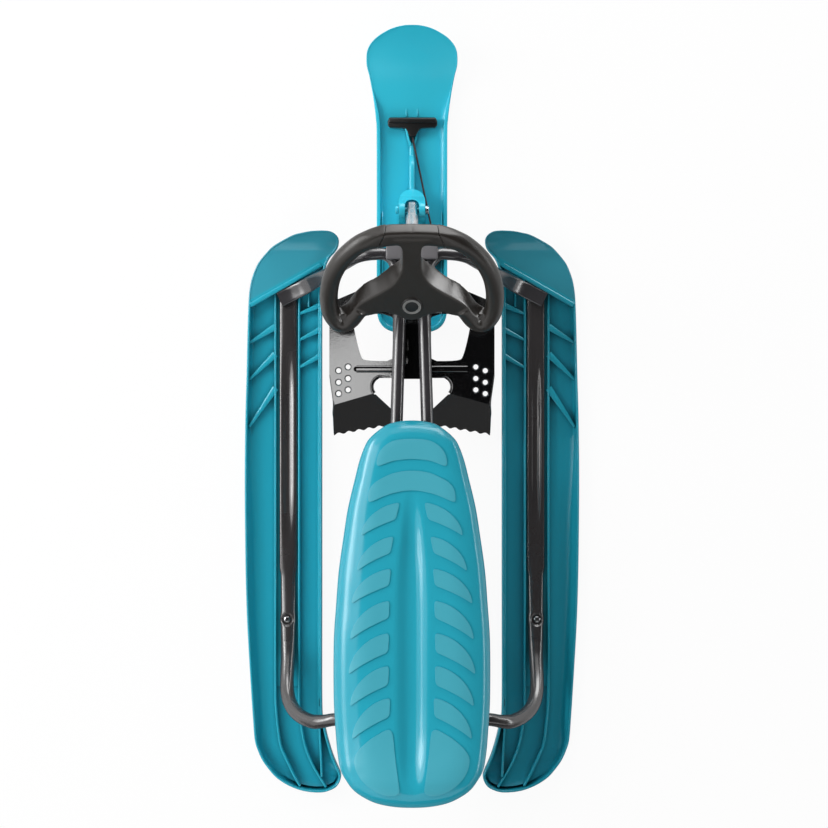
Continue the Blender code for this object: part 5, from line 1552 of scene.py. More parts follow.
@dataclass
class RearSki:
    """A rear ski: rimmed pan, rail channel, cross ribs, slanting ridge and upturned nose."""

    outer: Plan = plan(
        139.5, 280.6, 156, 279.8, 170, 277.5, 183.4, 274.5, 201.8, 266, 217, 257.2, 225.9, 248.8,
        234.5, 239, 241.5, 229, 248.7, 211.5, 252.5, 196, 254.9, 174.1, 256.5, 127.4, 258, 60, 260,
        -13, 260.9, -106.5, 260, -220, 258.4, -293.6, 256, -350, 251, -433.9, 247.9, -480.7, 245.3,
        -511.8, 240.9, -527.4, 233.9, -543, 224.5, -556.5, 212, -570.5, 194.9, -582, 176.2, -589.8,
        160.9, -593.1, 149, -594.1)
    inner: Plan = plan(
        139.5, 280.6, 128, 279.7, 120, 276.4, 115, 271.2, 113.5, 265, 115.6, 255.4, 121.5, 247,
        129, 239, 135, 225, 138.8, 200, 140.2, 174.1, 140.6, 120, 140.6, 0, 140.6, -250, 140.6,
        -450, 137.8, -480, 133, -504, 128.8, -519.6, 124, -535.2, 117.7, -550.8, 113.5, -560,
        110.8, -569, 112.8, -577.5, 119, -586, 130, -591.5, 139, -593.8, 149, -594.1)
    stations: int = 230
    rim_height: float = 0.028
    floor: float = 0.0040
    nose_start: float = 0.187
    nose_radius: float = 0.110
    nose_thickness: float = 0.0078
    rib_top: float = 0.0185
    tail_top: float = 0.0250
    rail_x: float = 0.195
    channel_half: float = 0.017
    rib: float = 0.0030
    ridge_at: PlanPoint = (0.2549, 0.1662)
    inner_wall: float = 0.1446
    rim_inner: float = 0.2545
    bed: float = 0.0089
    outer_ribs: Plan = plan(107.5, 133, 50, 90, -23.5, 37)
    inner_ribs: Plan = plan(153, 166, 112, 128, 69, 87)
    tail_outer: Plan = plan(
        212.8, -460, 210.9, -482.2, 206.1, -518.9, 198.5, -538.5, 191.6, -552.8, 183, -570.5, 175,
        -584.5)
    tail_inner: Plan = plan(
        175.8, -470, 174, -486.1, 167.3, -521.2, 156.4, -549.1, 143, -572.2, 134.5, -586)

    def bottom(self, y: float) -> float:
        """Height of the running surface."""
        run = max(y - self.nose_start, 0.0)
        return self.nose_radius - math.sqrt(self.nose_radius ** 2 - run ** 2)

    def top(self, y: float) -> float:
        """Height of the rim, which leaves the level without a crease.

        Args:
            y: Place along the ski.

        Returns:
            The height.
        """
        level = self.nose_thickness - self.rim_height
        rise = self.bottom(y) + level
        soft = 0.012 ** 2
        return self.rim_height + (rise + math.sqrt(rise ** 2 + soft)
                                  - level - math.sqrt(level ** 2 + soft)) / 2.0

    def ridge_y(self, x: float) -> float:
        """Place of the slanting ridge."""
        return self.ridge_at[1] + (self.ridge_at[0] - x) * RIDGE_SLOPE

    def shell(self, name: str, rim: Callable[[float, float], list[PlanPoint]],
              floor: Callable[[Vector], float], cells: int) -> Obj:
        """A moulding between the ski's own edges.

        Args:
            name: Name of the object.
            rim: Gives the rim's section at a plan point.
            floor: Gives the height between the rims.
            cells: Faces across the floor.

        Returns:
            The moulding.
        """
        edges = (resample(catmull(flat(points), 10), self.stations)
                 for points in (self.outer, self.inner))
        return TwoEdgedShell(*edges, rim, floor, self.bottom, cells).build(name)

    def pan(self) -> Obj:
        """The rimmed pan."""
        def rim(x: float, y: float) -> list[PlanPoint]:
            """Section of the rim, from the sole's edge over the top to the floor."""
            high = self.top(y) - self.bottom(y)
            slant = smooth_step(x, 0.205, 0.240) * smooth_step(-y, 0.020, 0.200)
            slant *= smooth_step(y, -0.540, -0.480)
            return [(0.0016, 0.0), (0.0005, 0.0005), (0.0, 0.0016), (0.0, high - 0.0019),
                    (0.0004, high - 0.0008), (0.0011, high - 0.0002), (0.0018, high),
                    (0.0025, high - 0.0002), (0.0032, high - 0.0008), (0.0036, high - 0.0019),
                    (0.0042 + 0.0062 * slant, min(0.0100, high * 0.6)),
                    (0.0052 + 0.0072 * slant, min(0.0062, high * 0.45)),
                    (0.0080 + 0.0076 * slant, min(0.0045, high * 0.4))]

        def floor(p: Vector) -> float:
            """Height of the pan's floor, which curves up to the tail."""
            level = min(self.floor, (self.top(p.y) - self.bottom(p.y)) * 0.4)
            return self.bottom(p.y) + level + 7.5 * max(-0.5480 - p.y, 0.0) ** 2

        return self.shell("pan", rim, floor, 6)

    def deck(self) -> Obj:
        """The nose's closed deck, cut off along the slanting ridge."""
        def rim(x: float, y: float) -> list[PlanPoint]:
            """Section of the deck's edge."""
            high = self.top(y) - self.bottom(y) - 0.0009
            return [(0.0022, 0.0020), (0.0022, high - 0.0006), (0.0028, high)]

        def floor(p: Vector) -> float:
            """Height of the deck."""
            return self.top(p.y) - 0.0009 - 0.0006 * smooth_step(p.y, 0.20, 0.27)

        deck = self.shell("deck", rim, floor, 14)
        x, y = self.ridge_at
        with Bench.editing(deck):
            bpy.ops.mesh.bisect(plane_co=(x, y - 0.0050, self.rim_height),
                                plane_no=Vector((RIDGE_SLOPE, 1.0, 0.10)).normalized(),
                                use_fill=True, clear_inner=True)
        return deck

    def wall(self, name: str, path: Sequence[PlanPoint], half: float, top: float,
             half_end: float | None = None, top_end: float | None = None) -> Obj:
        """A moulded rib with draft and a rounded top.

        Args:
            name: Name of the object.
            path: Plan points of its middle.
            half: Half thickness at the top, at the first point.
            top: Height at the first point.
            half_end: Half thickness at the last point.
            top_end: Height at the last point.

        Returns:
            The rib.
        """
        points = flat(path)
        if len(points) > 2:
            points = catmull(points, 6)
        half_end = half if half_end is None else half_end
        top_end = top if top_end is None else top_end
        low = self.floor - 0.0015
        rings: list[list[Vector]] = []
        for i, p in enumerate(points):
            t = i / (len(points) - 1)
            h, z = half + (half_end - half) * t, top + (top_end - top) * t
            ahead = points[min(i + 1, len(points) - 1)] - points[max(i - 1, 0)]
            across = Vector((ahead.y, -ahead.x, 0.0)).normalized()
            section = [(h + 0.0008, low), (h + 0.0002, z - 0.0014), (h * 0.80, z - 0.0005),
                       (h * 0.40, z - 0.0001)]
            section += [(-inset, height) for inset, height in reversed(section)]
            rings.append([p + across * a + Vector((0.0, 0.0, b)) for a, b in section])
        middle = Vector((0.0, 0.0, low + 0.004))
        first, last = ([points[i] + middle] * len(rings[0]) for i in (0, -1))
        return Bench.loft(name, [first, *rings, last])

    def build(self, finishes: Finishes) -> None:
        """Builds both skis and dresses them.

        Args:
            finishes: All finishes.
        """
        half = self.rib / 2.0
        outer_x, inner_x = (self.rail_x + self.channel_half + half,
                            self.rail_x - self.channel_half - half)
        parts = [self.pan(), self.deck()]
        parts.append(self.wall("ridge", [
            (self.ridge_at[0] - 0.0030, self.ridge_y(self.ridge_at[0]) + 0.0002),
            (0.1418, self.ridge_y(0.1418) - 0.0012)], 0.0034, self.rim_height + 0.0012))
        for name, x, start, tail in (("channel_outer", outer_x, -0.3900, self.tail_outer),
                                     ("channel_inner", inner_x, -0.4000, self.tail_inner)):
            stretch = (self.ridge_y(x) - 0.003, start, start - 0.03, start - 0.05)
            parts.append(self.wall(name, [*((x, y) for y in stretch), *tail], half,
                                   self.rib_top, half, self.tail_top))
        parts.append(self.wall("inner_wall", [
            *((self.inner_wall, y) for y in (0.2050, -0.4000, -0.4500)),
            (0.1440, -0.5000), (0.1425, -0.5300), (0.1410, -0.5700)], half, 0.0255))
        for first_x, last_x, ribs, half_end in (
                (self.rim_inner, outer_x, self.outer_ribs, 0.0052),
                (inner_x, self.inner_wall, self.inner_ribs, 0.0042)):
            for first_y, last_y in ribs:
                parts.append(self.wall("cross_rib", [(first_x, first_y), (last_x, last_y)],
                                       0.0016, self.rib_top - 0.001, half_end,
                                       self.rib_top - 0.0003))
        parts.append(self.wall("stub", [(0.1615, 0.1640), (0.1615, 0.1980)], 0.0013, 0.0165))
        parts.append(Bench.block("bed", (inner_x, -0.4300, self.floor - 0.001),
                                 (outer_x, self.ridge_y(outer_x) - 0.004, self.bed), 0.0004))
        place_pair(Bench.merge("right_ski_moulding", parts), "left_ski_moulding", 38.0,
                   finishes.rear_ski, Body.FRAME, "ski_plastic", "rear_ski")


@dataclass
class FrontSki:
    """The steered ski: rimmed deck, nose, axle bracket, centre rib and handle dock."""

    edge: Plan = plan(
        0, 594.6, 11, 593.8, 24, 591.5, 36.8, 587.3, 53, 578.8, 64, 569, 69.4, 559, 70.8, 548,
        70.2, 537, 66.4, 522.6, 61.9, 499, 58.4, 475.1, 56.3, 456, 55.3, 438.5, 55.1, 360, 55.1,
        280, 55.1, 170, 54.6, 156, 52.5, 145, 48, 136.5, 40.5, 129.7, 30, 125.6, 15, 124, 0, 123.7)
    stations: int = 230
    nose_start: float = 0.428
    nose_radius: float = 0.212
    thickness: float = 0.005
    foremost: float = 0.5939
    keel: float = 0.0025
    rim_high: float = 0.0140
    rim_width: float = 0.0058
    bead_width: float = 0.0026
    half_width: float = 0.0204
    slot: float = 0.0110
    slot_front: float = 0.3274
    bracket_front: float = 0.3464
    bracket_rear: float = 0.2930
    ear_radius: float = 0.0130
    keel_x: float = 0.030
    rib_x: float = 0.0465
    stop_x: float = 0.0086
    prong_rear: float = 0.4238
    prong_front: float = 0.44205
    prong_inner: float = 0.0078
    cord_under: float = 0.0170

    def bottom(self, y: float) -> float:
        """Height of the keels' running surface."""
        run = max(y - self.nose_start, 0.0)
        return self.nose_radius - math.sqrt(self.nose_radius ** 2 - run ** 2)

    def deck_z(self, y: float) -> float:
        """Height of the deck."""
        return self.bottom(y) + self.keel + self.thickness

    def moulding(self) -> Obj:
        """The deck with its rims and turned-up nose."""
        right = half_edge(self.edge, 10, self.stations)

        def rim(x: float, y: float) -> list[PlanPoint]:
            """Section of the rim, which fades to a bead at the nose."""
            fade = 1.0 - smooth_step(y, 0.455, 0.505)
            width = self.bead_width + (self.rim_width - self.bead_width) * fade
            sole, deck = self.keel, self.keel + self.thickness
            high = deck + 0.0011 + (self.rim_high - 0.0011) * fade
            return [(0.0016, sole), (0.0004, sole + 0.0005), (0.0, sole + 0.0015),
                    (0.0, high - 0.0012), (0.0004, high - 0.0003), (0.0012, high),
                    (width - 0.0012, high), (width - 0.0004, high - 0.0003),
                    (width, high - 0.0010), (width + 0.0006, deck + 0.0010 * fade + 0.0002),
                    (width + 0.0022, deck)]

        return TwoEdgedShell(right, mirrored(right), rim, lambda p: self.deck_z(p.y),
                             self.bottom, 16).build("deck")

    def keels(self) -> list[Obj]:
        """The two runners under the ski."""
        section = SectionSize(0.0040, 0.0022, 3.0)
        result = []
        for side in Side:
            path = [Vector((self.keel_x * side.value, y, self.bottom(y) + 0.0022))
                    for y in [0.140 + 0.0135 * k for k in range(28)]]
            result.append(Sweep(path, section, 16, ACROSS).build("keel"))
        return result

    def bracket(self, axle: Vector) -> Obj:
        """The horseshoe that stands round the shaft's lower end.

        Args:
            axle: Middle of the ski's axle.

        Returns:
            The bracket.
        """
        deck = self.keel + self.thickness - 0.001
        top = axle.z + self.ear_radius + 0.002

        def arch(half: float, front: float, rear: float, steps: int) -> list[PlanPoint]:
            """Plan outline of an arch that is open to the rear."""
            bow = arc(0.0, front - half, half, (math.pi * i / steps for i in range(steps + 1)))
            return [(half, rear), *bow, (-half, rear)]

        horse = Bench.extruded("bracket", arch(self.half_width, self.bracket_front,
                                               self.bracket_rear, 40), deck, top)
        ear = arc(axle.y, axle.z, self.ear_radius, (math.radians(a) for a in range(180, 19, -10)))
        front = self.bracket_front + 0.001
        side = [(self.bracket_rear, deck), (axle.y - self.ear_radius, axle.z - 0.020), *ear,
                (self.bracket_front - 0.012, 0.0480), (front, 0.0340), (front, deck)]
        Bench.combine(horse, Bench.profile("bracket_side", side, 0.030), Keep.INSIDE)
        Bench.combine(horse, Bench.extruded("slot", arch(self.slot, self.slot_front,
                                                         self.bracket_rear - 0.01, 32),
                                            deck + 0.004, top + 0.01))
        Bench.combine(horse, Bench.lathe("axle_hole", Vector((-0.04, axle.y, axle.z)), ACROSS,
                                         plan(0, 0, 0, 4.4, 80, 4.4, 80, 0), 32))
        return Bench.bevel(horse, 0.0009, 2, 35.0)

    def dock(self) -> list[Obj]:
        """The forked dock of the handle, the centre rib and the two stops."""
        z = self.keel + self.thickness - 0.001
        crest = [Vector((0.0, y, height)) for y, height in plan(
            342.5, 30, 380, 29.2, 393, 22.5, 400, 16.5, 419.5, 16)]
        path = resample(catmull(crest, 8), 40)
        parts = [Sweep(path, SectionSize(0.0042, 0.0032, 2.4), 24, ACROSS).build("rib_bead")]
        web = [(0.3425, z), *plan(342.5, 30, 380, 29.2, 393, 22, 401, 15.5, 420, 15),
               (0.4215, z)]
        parts.append(Bench.bevel(Bench.profile("rib_web", web, 0.0032), 0.0005, 2, 40.0))
        rear, front, inner = self.prong_rear, self.prong_front, self.prong_inner
        fork = [(0.0015, rear - 0.004), (0.0036, rear), (inner, front), (inner + 0.0030, front),
                (0.0068, rear), (0.0045, rear - 0.008), (0.0015, rear - 0.008)]
        for side in Side:
            high = 0.0245 if side is Side.LEFT else self.cord_under
            prong = Bench.extruded("prong", side.turned(fork), z, high)
            parts.append(Bench.bevel(prong, 0.0006, 2, 25.0))
            x = self.stop_x * side.value
            parts.append(Bench.block("stop", (x - 0.0011, 0.4617, z - 0.001),
                                     (x + 0.0011, 0.4742, 0.0125), 0.0006))
        return parts

    def inner_ribs(self) -> list[Obj]:
        """Two low ribs inside the rims behind the bracket's front."""
        z = self.keel + self.thickness - 0.001
        result = []
        for side in Side:
            x = self.rib_x * side.value
            rib = Bench.block("rib", (x - 0.0012, 0.1500, z), (x + 0.0012, 0.3160, z + 0.009))
            for vertex in rib.data.vertices:
                if vertex.co.z > z + 0.005 and vertex.co.y > 0.30:
                    vertex.co.y -= 0.020
            result.append(Bench.bevel(rib, 0.0006, 2))
        return result

    def dress(self, column: ColumnFrame, finishes: Finishes) -> None:
        """Builds and dresses the front ski.

        Args:
            column: The steering column's frame.
            finishes: All finishes.
        """
        ski = Bench.merge("front_ski_moulding", [
            self.moulding(), *self.keels(), self.bracket(column.pivot), *self.dock(),
            *self.inner_ribs()])
        for vertex in ski.data.vertices:
            vertex.co.y = min(vertex.co.y, self.foremost)
        place_piece(Bench.smooth(ski, 38.0), finishes.front_ski, Body.FRONT_SKI,
                    "ski_plastic", "front_ski")


@dataclass
class SteeringWheel:
    """The wheel: remeshed centre with spokes, two grips and the hub cap."""

    column: ColumnFrame
    tube: float = 0.0135
    rim_path: Plan = plan(
        0, 132.2, 33, 130.6, 47.5, 126.6, 62.5, 120.5, 79, 109, 97.5, 88.5, 110.2, 66.5, 118.2,
        44.5, 122.4, 18, 122.2, -8, 118.5, -26, 110, -40.5, 100, -43, 90.5, -35, 83, -23, 76, -12)
    face: Plan = plan(
        0, 127, 25, 127, 25, 119.5, 19, 116, 15.2, 110, 14, 101, 13.8, 80, 15.2, 68, 19.5, 55.5,
        25, 45, 33, 36.2, 47.4, 24.6, 60, 16, 79.3, 1.2, 91.4, -17, 99, -29, 97, -46, 87.5, -38.5,
        75.5, -24, 57.6, -18.2, 42.8, -12.8, 31, -16.2, 20.7, -20, 10, -26.8, 0, -29)
    back: Plan = plan(
        0, 127, 25, 127, 25, 119.5, 19, 116, 15.2, 110, 14, 101, 13.8, 80, 17, 70.5, 24.5, 62.2,
        32, 54.2, 39.5, 45.7, 52, 34.7, 65, 26.2, 80, 9.2, 93, -12.8, 106, -25.8, 100, -44, 87.5,
        -37, 75.5, -23, 57.6, -17.2, 42.8, -12, 31, -15, 20.7, -19, 10, -25, 0, -27)
    depth: float = 0.0098
    back_depth: float = 0.0097
    hub: float = 0.0268
    hub_back: float = 0.030
    hub_front: float = 0.0098
    seam: Plan = plan(33.4, 151, 49, 112, 49, 95)
    voxel: float = 0.00125
    cap_radius: float = 0.0158
    gap: float = 0.00035
    grip_length: float = 0.235

    def _rim_section(self, travelled: float) -> SectionSize:
        """Boxy between the seams, round beyond them.

        Args:
            travelled: Distance along the rim from its top.

        Returns:
            The section there.
        """
        share = smooth_step(travelled, 0.026, 0.080)
        deep = 0.0094 + (self.tube - 0.0094) * share
        high = 0.0125 + (self.tube - 0.0125) * share
        return SectionSize(high, deep, 2.0 + 5.0 * (1.0 - share) ** 2)

    def _tube(self, name: str, first: float, last: float, slack: Callable[[float], float]) -> Obj:
        """Part of the right half of the rim, as a closed sweep.

        Args:
            name: Name of the object.
            first: Share of the path where it starts.
            last: Share of the path where it ends.
            slack: What the section loses at a distance along this part.

        Returns:
            The swept part.
        """
        path = catmull(flat(self.rim_path), 8)
        start, end = (round(share * (len(path) - 1)) for share in (first, last))
        before = sum((b - a).length for a, b in zip(path[:start], path[1:start + 1]))

        def section(travelled: float) -> SectionSize:
            """The rim's section less its slack."""
            size, less = self._rim_section(travelled + before), slack(travelled)
            return SectionSize(size.half_width - less, size.half_height - less, size.power)

        tube = Sweep(path[start:end + 1], section, 40, AHEAD).build(name)
        for vertex in tube.data.vertices:
            fade = 1.0 - smooth_step(vertex.co.x, 0.030, 0.088)
            if vertex.co.y > 0.05:
                vertex.co.y -= 0.30 * (vertex.co.z + 0.0094) * fade
        return tube

    def _to_world(self, obj: Obj) -> Obj:
        """Carries a piece from the wheel's plane to its place on the column.

        Args:
            obj: The piece.

        Returns:
            The same piece.
        """
        for vertex in obj.data.vertices:
            vertex.co = self.column.wheel(*vertex.co)
        return obj

    def _seam_cutter(self, shift: float, *rest: PlanPoint) -> list[PlanPoint]:
        """Outline that follows the seam, moved sideways, and goes on through other points."""
        return [*((u + shift, v) for u, v in self.seam), *rest]

    def _blank(self) -> Obj:
        """The prism of column and spokes, wider at the back than at the front."""
        front, back = (whole([(p.x, p.y) for p in catmull(flat(side), 4)])
                       for side in (self.face, self.back))
        blank = Bench.extruded("spokes", front, -self.depth, self.depth)
        for vertex in blank.data.vertices:
            if vertex.co.z < 0.0:
                nearest = min(range(len(front)),
                              key=lambda i: (Vector(front[i]) - vertex.co.xy).length)
                u, v = back[nearest]
                out = math.copysign(0.0033, u) * smooth_step(abs(u), 0.010, 0.030)
                vertex.co = (u + out, v + 0.0039, -self.back_depth)
        with Bench.editing(blank):
            bpy.ops.mesh.quads_convert_to_tris(ngon_method="BEAUTY")
            bpy.ops.mesh.normals_make_consistent(inside=False)
        return blank

    def centre(self) -> Obj:
        """The moulded centre: arch, column, spokes and the hooks at their ends."""
        height = self.hub_back + self.hub_front
        parts = [self._blank(), Bench.lathe(
            "hub", UP * -self.hub_back, UP,
            [(0.0, 0.0), (0.0, self.hub - 0.002), (0.002, self.hub), (height - 0.002, self.hub),
             (height - 0.0006, self.hub - 0.0007), (height, self.hub - 0.0026), (height, 0.0)],
            48)]
        for name, first, last, slack in (("arch", 0.0, 0.22, 0.0), ("hook", 0.56, 1.0, 0.0007)):
            half = self._tube(name, first, last,
                              lambda t, s=slack: s * (1.0 - smooth_step(t, 0.0, 0.04)))
            parts += [half, Bench.mirror(half, f"{name}_left")]
        for side in Side:
            low, high = sorted((0.0985 * side.value, 0.1180 * side.value))
            parts.append(Bench.block("saddle", (low, -0.0400, -0.0095),
                                     (high, -0.0205, 0.0060)))
        body = Bench.merge("wheel_moulding", parts)
        body.data.remesh_voxel_size = self.voxel
        body.data.remesh_voxel_adaptivity = 0.0
        Bench.pick(body)
        bpy.ops.object.voxel_remesh()
        with Bench.editing(body):
            bpy.ops.mesh.vertices_smooth(factor=0.5, repeat=12)
        outline = self._seam_cutter(-self.gap, (0.1000, 0.0700), (0.1000, 0.1510))
        for side in Side:
            Bench.combine(body, Bench.extruded("seam_cut", side.turned(outline), -0.04, 0.04))
        return self._to_world(body)

    def grip(self) -> Obj:
        """The right grip, from the seam down to the hook."""
        end = self.grip_length
        grip = self._tube("right_grip_sleeve", 0.06, 0.70,
                          lambda t: 0.0008 * smooth_step(t, end - 0.035, end))
        outline = self._seam_cutter(self.gap * 2.0, (-0.02, 0.0950), (-0.02, 0.1510))
        Bench.combine(grip, Bench.extruded("seam_cut", outline, -0.04, 0.04))
        return self._to_world(Bench.bevel(grip, 0.0014, 3, 50.0))

    def cap(self, finishes: Finishes) -> None:
        """Builds and dresses the hub cap and its ring, with the badge field left bare.

        Args:
            finishes: All finishes.
        """
        r = self.cap_radius
        disc = [(-0.004, 0.0), (-0.004, r), (0.0008, r), (0.0020, r - 0.0008),
                (0.0024, r - 0.0020), (0.0024, r - 0.0042), (0.0016, r - 0.0048),
                (0.0020, 0.0050), (0.0021, 0.0)]
        ring = [(0.0010, r - 0.0058), (0.0024, r - 0.0058), (0.0027, r - 0.0054),
                (0.0025, r - 0.0048), (0.0025, r - 0.0032), (0.0028, r - 0.0026),
                (0.0025, r - 0.0020), (0.0010, r - 0.0020), (0.0010, r - 0.0058)]
        for name, profile, finish, nodes in (("hub_cap_disc", disc, finishes.black, ["hub_cap"]),
                                             ("hub_cap_ring", ring, finishes.badge, [])):
            turned = [(self.hub_front + distance, radius) for distance, radius in profile]
            piece = Bench.lathe(name, self.column.point(self.column.hub_distance),
                                self.column.axis, turned, 64)
            place_piece(Bench.smooth(piece), finish, Body.STEERING, "black_plastic", *nodes)

    def dress(self, finishes: Finishes) -> None:
        """Builds and dresses the wheel.

        Args:
            finishes: All finishes.
        """
        centre = Bench.smooth(self.centre(), 50.0)
        place_piece(centre, finishes.wheel, Body.STEERING, "black_plastic", "wheel_centre")
        place_pair(self.grip(), "left_grip_sleeve", 45.0, finishes.grip, Body.STEERING,
                   "grip_plastic", "grip")
        self.cap(finishes)


@dataclass
class BrakePlate:
    """The stamped foot brake: windows, drilled holes, pressed bead and toothed blades."""

    z: float = 0.1000
    sheet: float = 0.0025
    outline: Plan = plan(
        0, 183.2, 87.3, 183.2, 116.3, 170.9, 126.4, 160, 126.4, 54.6, 119.5, 10.2, 121.2, -36.9)
    blade_inner: Plan = plan(27.9, -20.7, 32.1, 4.5, 55.6, 26.6)
    notch_centre: PlanPoint = (0.0453, 0.0382)
    notch_radius: float = 0.0138
    crossbar_y: float = 0.0515
    bend: Plan = plan(119.5, 10.2, 62.8, 26.6)
    blade_angle: float = math.radians(50.0)
    teeth: int = 6
    tooth_depth: float = 0.0030
    window: Plan = plan(18, 149.5, 88, 149.5, 91.2, 137.9, 79, 83.7, 71.5, 77.5, 18, 77.5)
    holes: Plan = plan(97.8, 68.5, 112.3, 62.8, 97.8, 50.7, 112.3, 44.9, 97.8, 33.4, 112.3, 27.6)
    hole_radius: float = 0.0038
    bead_y: float = 0.0652
    bead_end: float = 0.0850
    pivot_y: float = 0.1564
    pivot_z: float = 0.10805
    roll_half: float = 0.0240
    roll_radius: float = 0.0078
    pivot_radius: float = 0.0044
    ear: Plan = plan(
        125.6, 56, 123.6, 40, 120.7, 20, 119.2, 8.5, 120.4, -4, 120.6, -18, 120.4, -33)

    @property
    def top(self) -> float:
        """Height of the plate's upper face."""
        return self.z + self.sheet / 2.0

    def notch(self, wider: float, degrees: Iterable[int]) -> list[PlanPoint]:
        """Points round the right notch, outside its edge by wider."""
        turns = (math.radians(turn) for turn in degrees)
        return arc(*self.notch_centre, self.notch_radius + wider, turns)

    def half_outline(self) -> list[PlanPoint]:
        """The right half of the flat blank, with teeth and notch."""
        a, b = Vector(self.outline[-1]), Vector(self.blade_inner[0])
        along = (b - a).normalized()
        inward = Vector((along.y, -along.x))
        steps = self.teeth * 8
        teeth = []
        for i in range(1, steps):
            bite = self.tooth_depth * 0.5 * (1.0 - math.cos(math.tau * self.teeth * i / steps))
            teeth.append(tuple(a.lerp(b, i / steps) + inward * bite))
        return [*self.outline, *teeth, *self.blade_inner, *self.notch(0.0030, range(-46, 76, 8)),
                (self.notch_centre[0] - 0.004, self.crossbar_y), (0.0, self.crossbar_y)]

    def _past_bend(self, x: float, y: float, side: Side = Side.RIGHT) -> float:
        """How far a plan point lies behind the line where a blade is bent down.

        Args:
            x: Place across.
            y: Place along.
            side: The blade's side.

        Returns:
            The distance, below 0 in front of the line.
        """
        a, b = (Vector(p) for p in self.bend)
        line = (b - a).normalized()
        rearward = Vector((-line.y * side.value, line.x))
        return (Vector((x, y)) - Vector((a.x * side.value, a.y))).dot(rearward)

    def plate(self) -> Obj:
        """The bent plate."""
        low = self.z - self.sheet / 2.0
        plate = Bench.extruded("foot_brake_plate", whole(self.half_outline()), low, self.top)
        tools = []
        drill = [*plan(0, 0, 0, 3.8, 10.5, 3.8), (0.0101 + self.sheet, self.hole_radius + 0.0015),
                 *plan(30, 5.3, 30, 0)]
        for side in Side:
            tools.append(Bench.extruded("window", side.turned(softened(self.window)),
                                        low - 0.01, self.top + 0.01))
            tools += [Bench.lathe("hole", Vector((x, y, low - 0.01)), UP, drill, 32)
                      for x, y in side.turned(self.holes)]
        Bench.combine(plate, Bench.merge("brake_cutters", tools))
        a, b = (Vector(p) for p in self.bend)
        line = (b - a).normalized()
        for side in Side:
            with Bench.editing(plate):
                bpy.ops.mesh.bisect(plane_co=(a.x * side.value, a.y, self.z),
                                    plane_no=(-line.y * side.value, line.x, 0.0))
            for vertex in plate.data.vertices:
                x, y, _ = vertex.co
                past = self._past_bend(x, y, side)
                if x * side.value > 0.005 and y < 0.032 and past > 1e-6:
                    vertex.co.z -= past * math.tan(self.blade_angle)
        return Bench.bevel(plate, 0.0004, 2, 30.0)

    def _ear(self, side: Side) -> Obj:
        """The turned edge down the outer side of a wing and its blade.

        Args:
            side: The wing's side.

        Returns:
            The edge.
        """
        path = []
        for p in catmull(flat(self.ear), 4):
            sunk = max(self._past_bend(p.x, p.y), 0.0) * math.tan(self.blade_angle)
            path.append(Vector((p.x * side.value, p.y, self.z - 0.0006 - sunk)))

        def section(travelled: float) -> SectionSize:
            """A bead that swells where the blade starts."""
            swell = 1.0 - smooth_step(abs(travelled - 0.056), 0.004, 0.022)
            return SectionSize(0.0011 + 0.0010 * swell, 0.0022)

        return Sweep(path, section, 16, ACROSS).build("ear")

    def trim(self) -> list[Obj]:
        """Bead, rolled pivot and the turned-down edges of the notches."""
        bead_path = [Vector((x, self.bead_y, self.top - 0.0010)) for x in
                     (-self.bead_end, -0.040, 0.0, 0.040, self.bead_end)]
        size = SectionSize(0.0056, 0.0034, 2.4)
        bead = Sweep(fine(bead_path, 0.006), size, 32, AHEAD).build("bead")
        bore, outer, width = self.pivot_radius, self.roll_radius, 2.0 * self.roll_half
        roll = Bench.lathe("roll", Vector((-self.roll_half, self.pivot_y, self.pivot_z)), ACROSS,
                           [(0.0, bore), (0.0, outer), (width, outer), (width, bore),
                            (0.0, bore)], 32)
        pieces = [bead, roll]

        def section(travelled: float) -> SectionSize:
            """The rolled edge, widest at the notch's side."""
            share = smooth_step(travelled, 0.004, 0.022)
            return SectionSize(0.0022 + 0.0020 * share, 0.0028)

        edge = [(0.0340, self.crossbar_y + 0.0020), *self.notch(0.0036, range(76, -41, -6))]
        for side in Side:
            path = [Vector((x, y, self.top - 0.0026)) for x, y in side.turned(edge)]
            pieces.append(Sweep(path, section, 24, AHEAD).build("edge"))
            pieces.append(self._ear(side))
        return pieces

    def dress(self, finishes: Finishes) -> None:
        """Builds and dresses the brake.

        Args:
            finishes: All finishes.
        """
        plate = Bench.merge("foot_brake_plate", [self.plate(), *self.trim()])
        place_piece(Bench.smooth(plate, 32.0, True), finishes.enamel, Body.BRAKE,
                    "brake_enamel", "brake_plate")
        # Painted shade: a matt black disc at the left bead's open end stands for the shadow inside
        # it.
        foot = Vector((-self.bead_end - 0.0004, self.bead_y, self.top + 0.0001))
        mouth = Bench.lathe("bead_mouth", foot, UP, plan(0, 0, 0, 4, 0.5, 3.8, 0.5, 0), 32)
        place_piece(Bench.smooth(mouth), finishes.dull, Body.BRAKE, "brake_enamel")


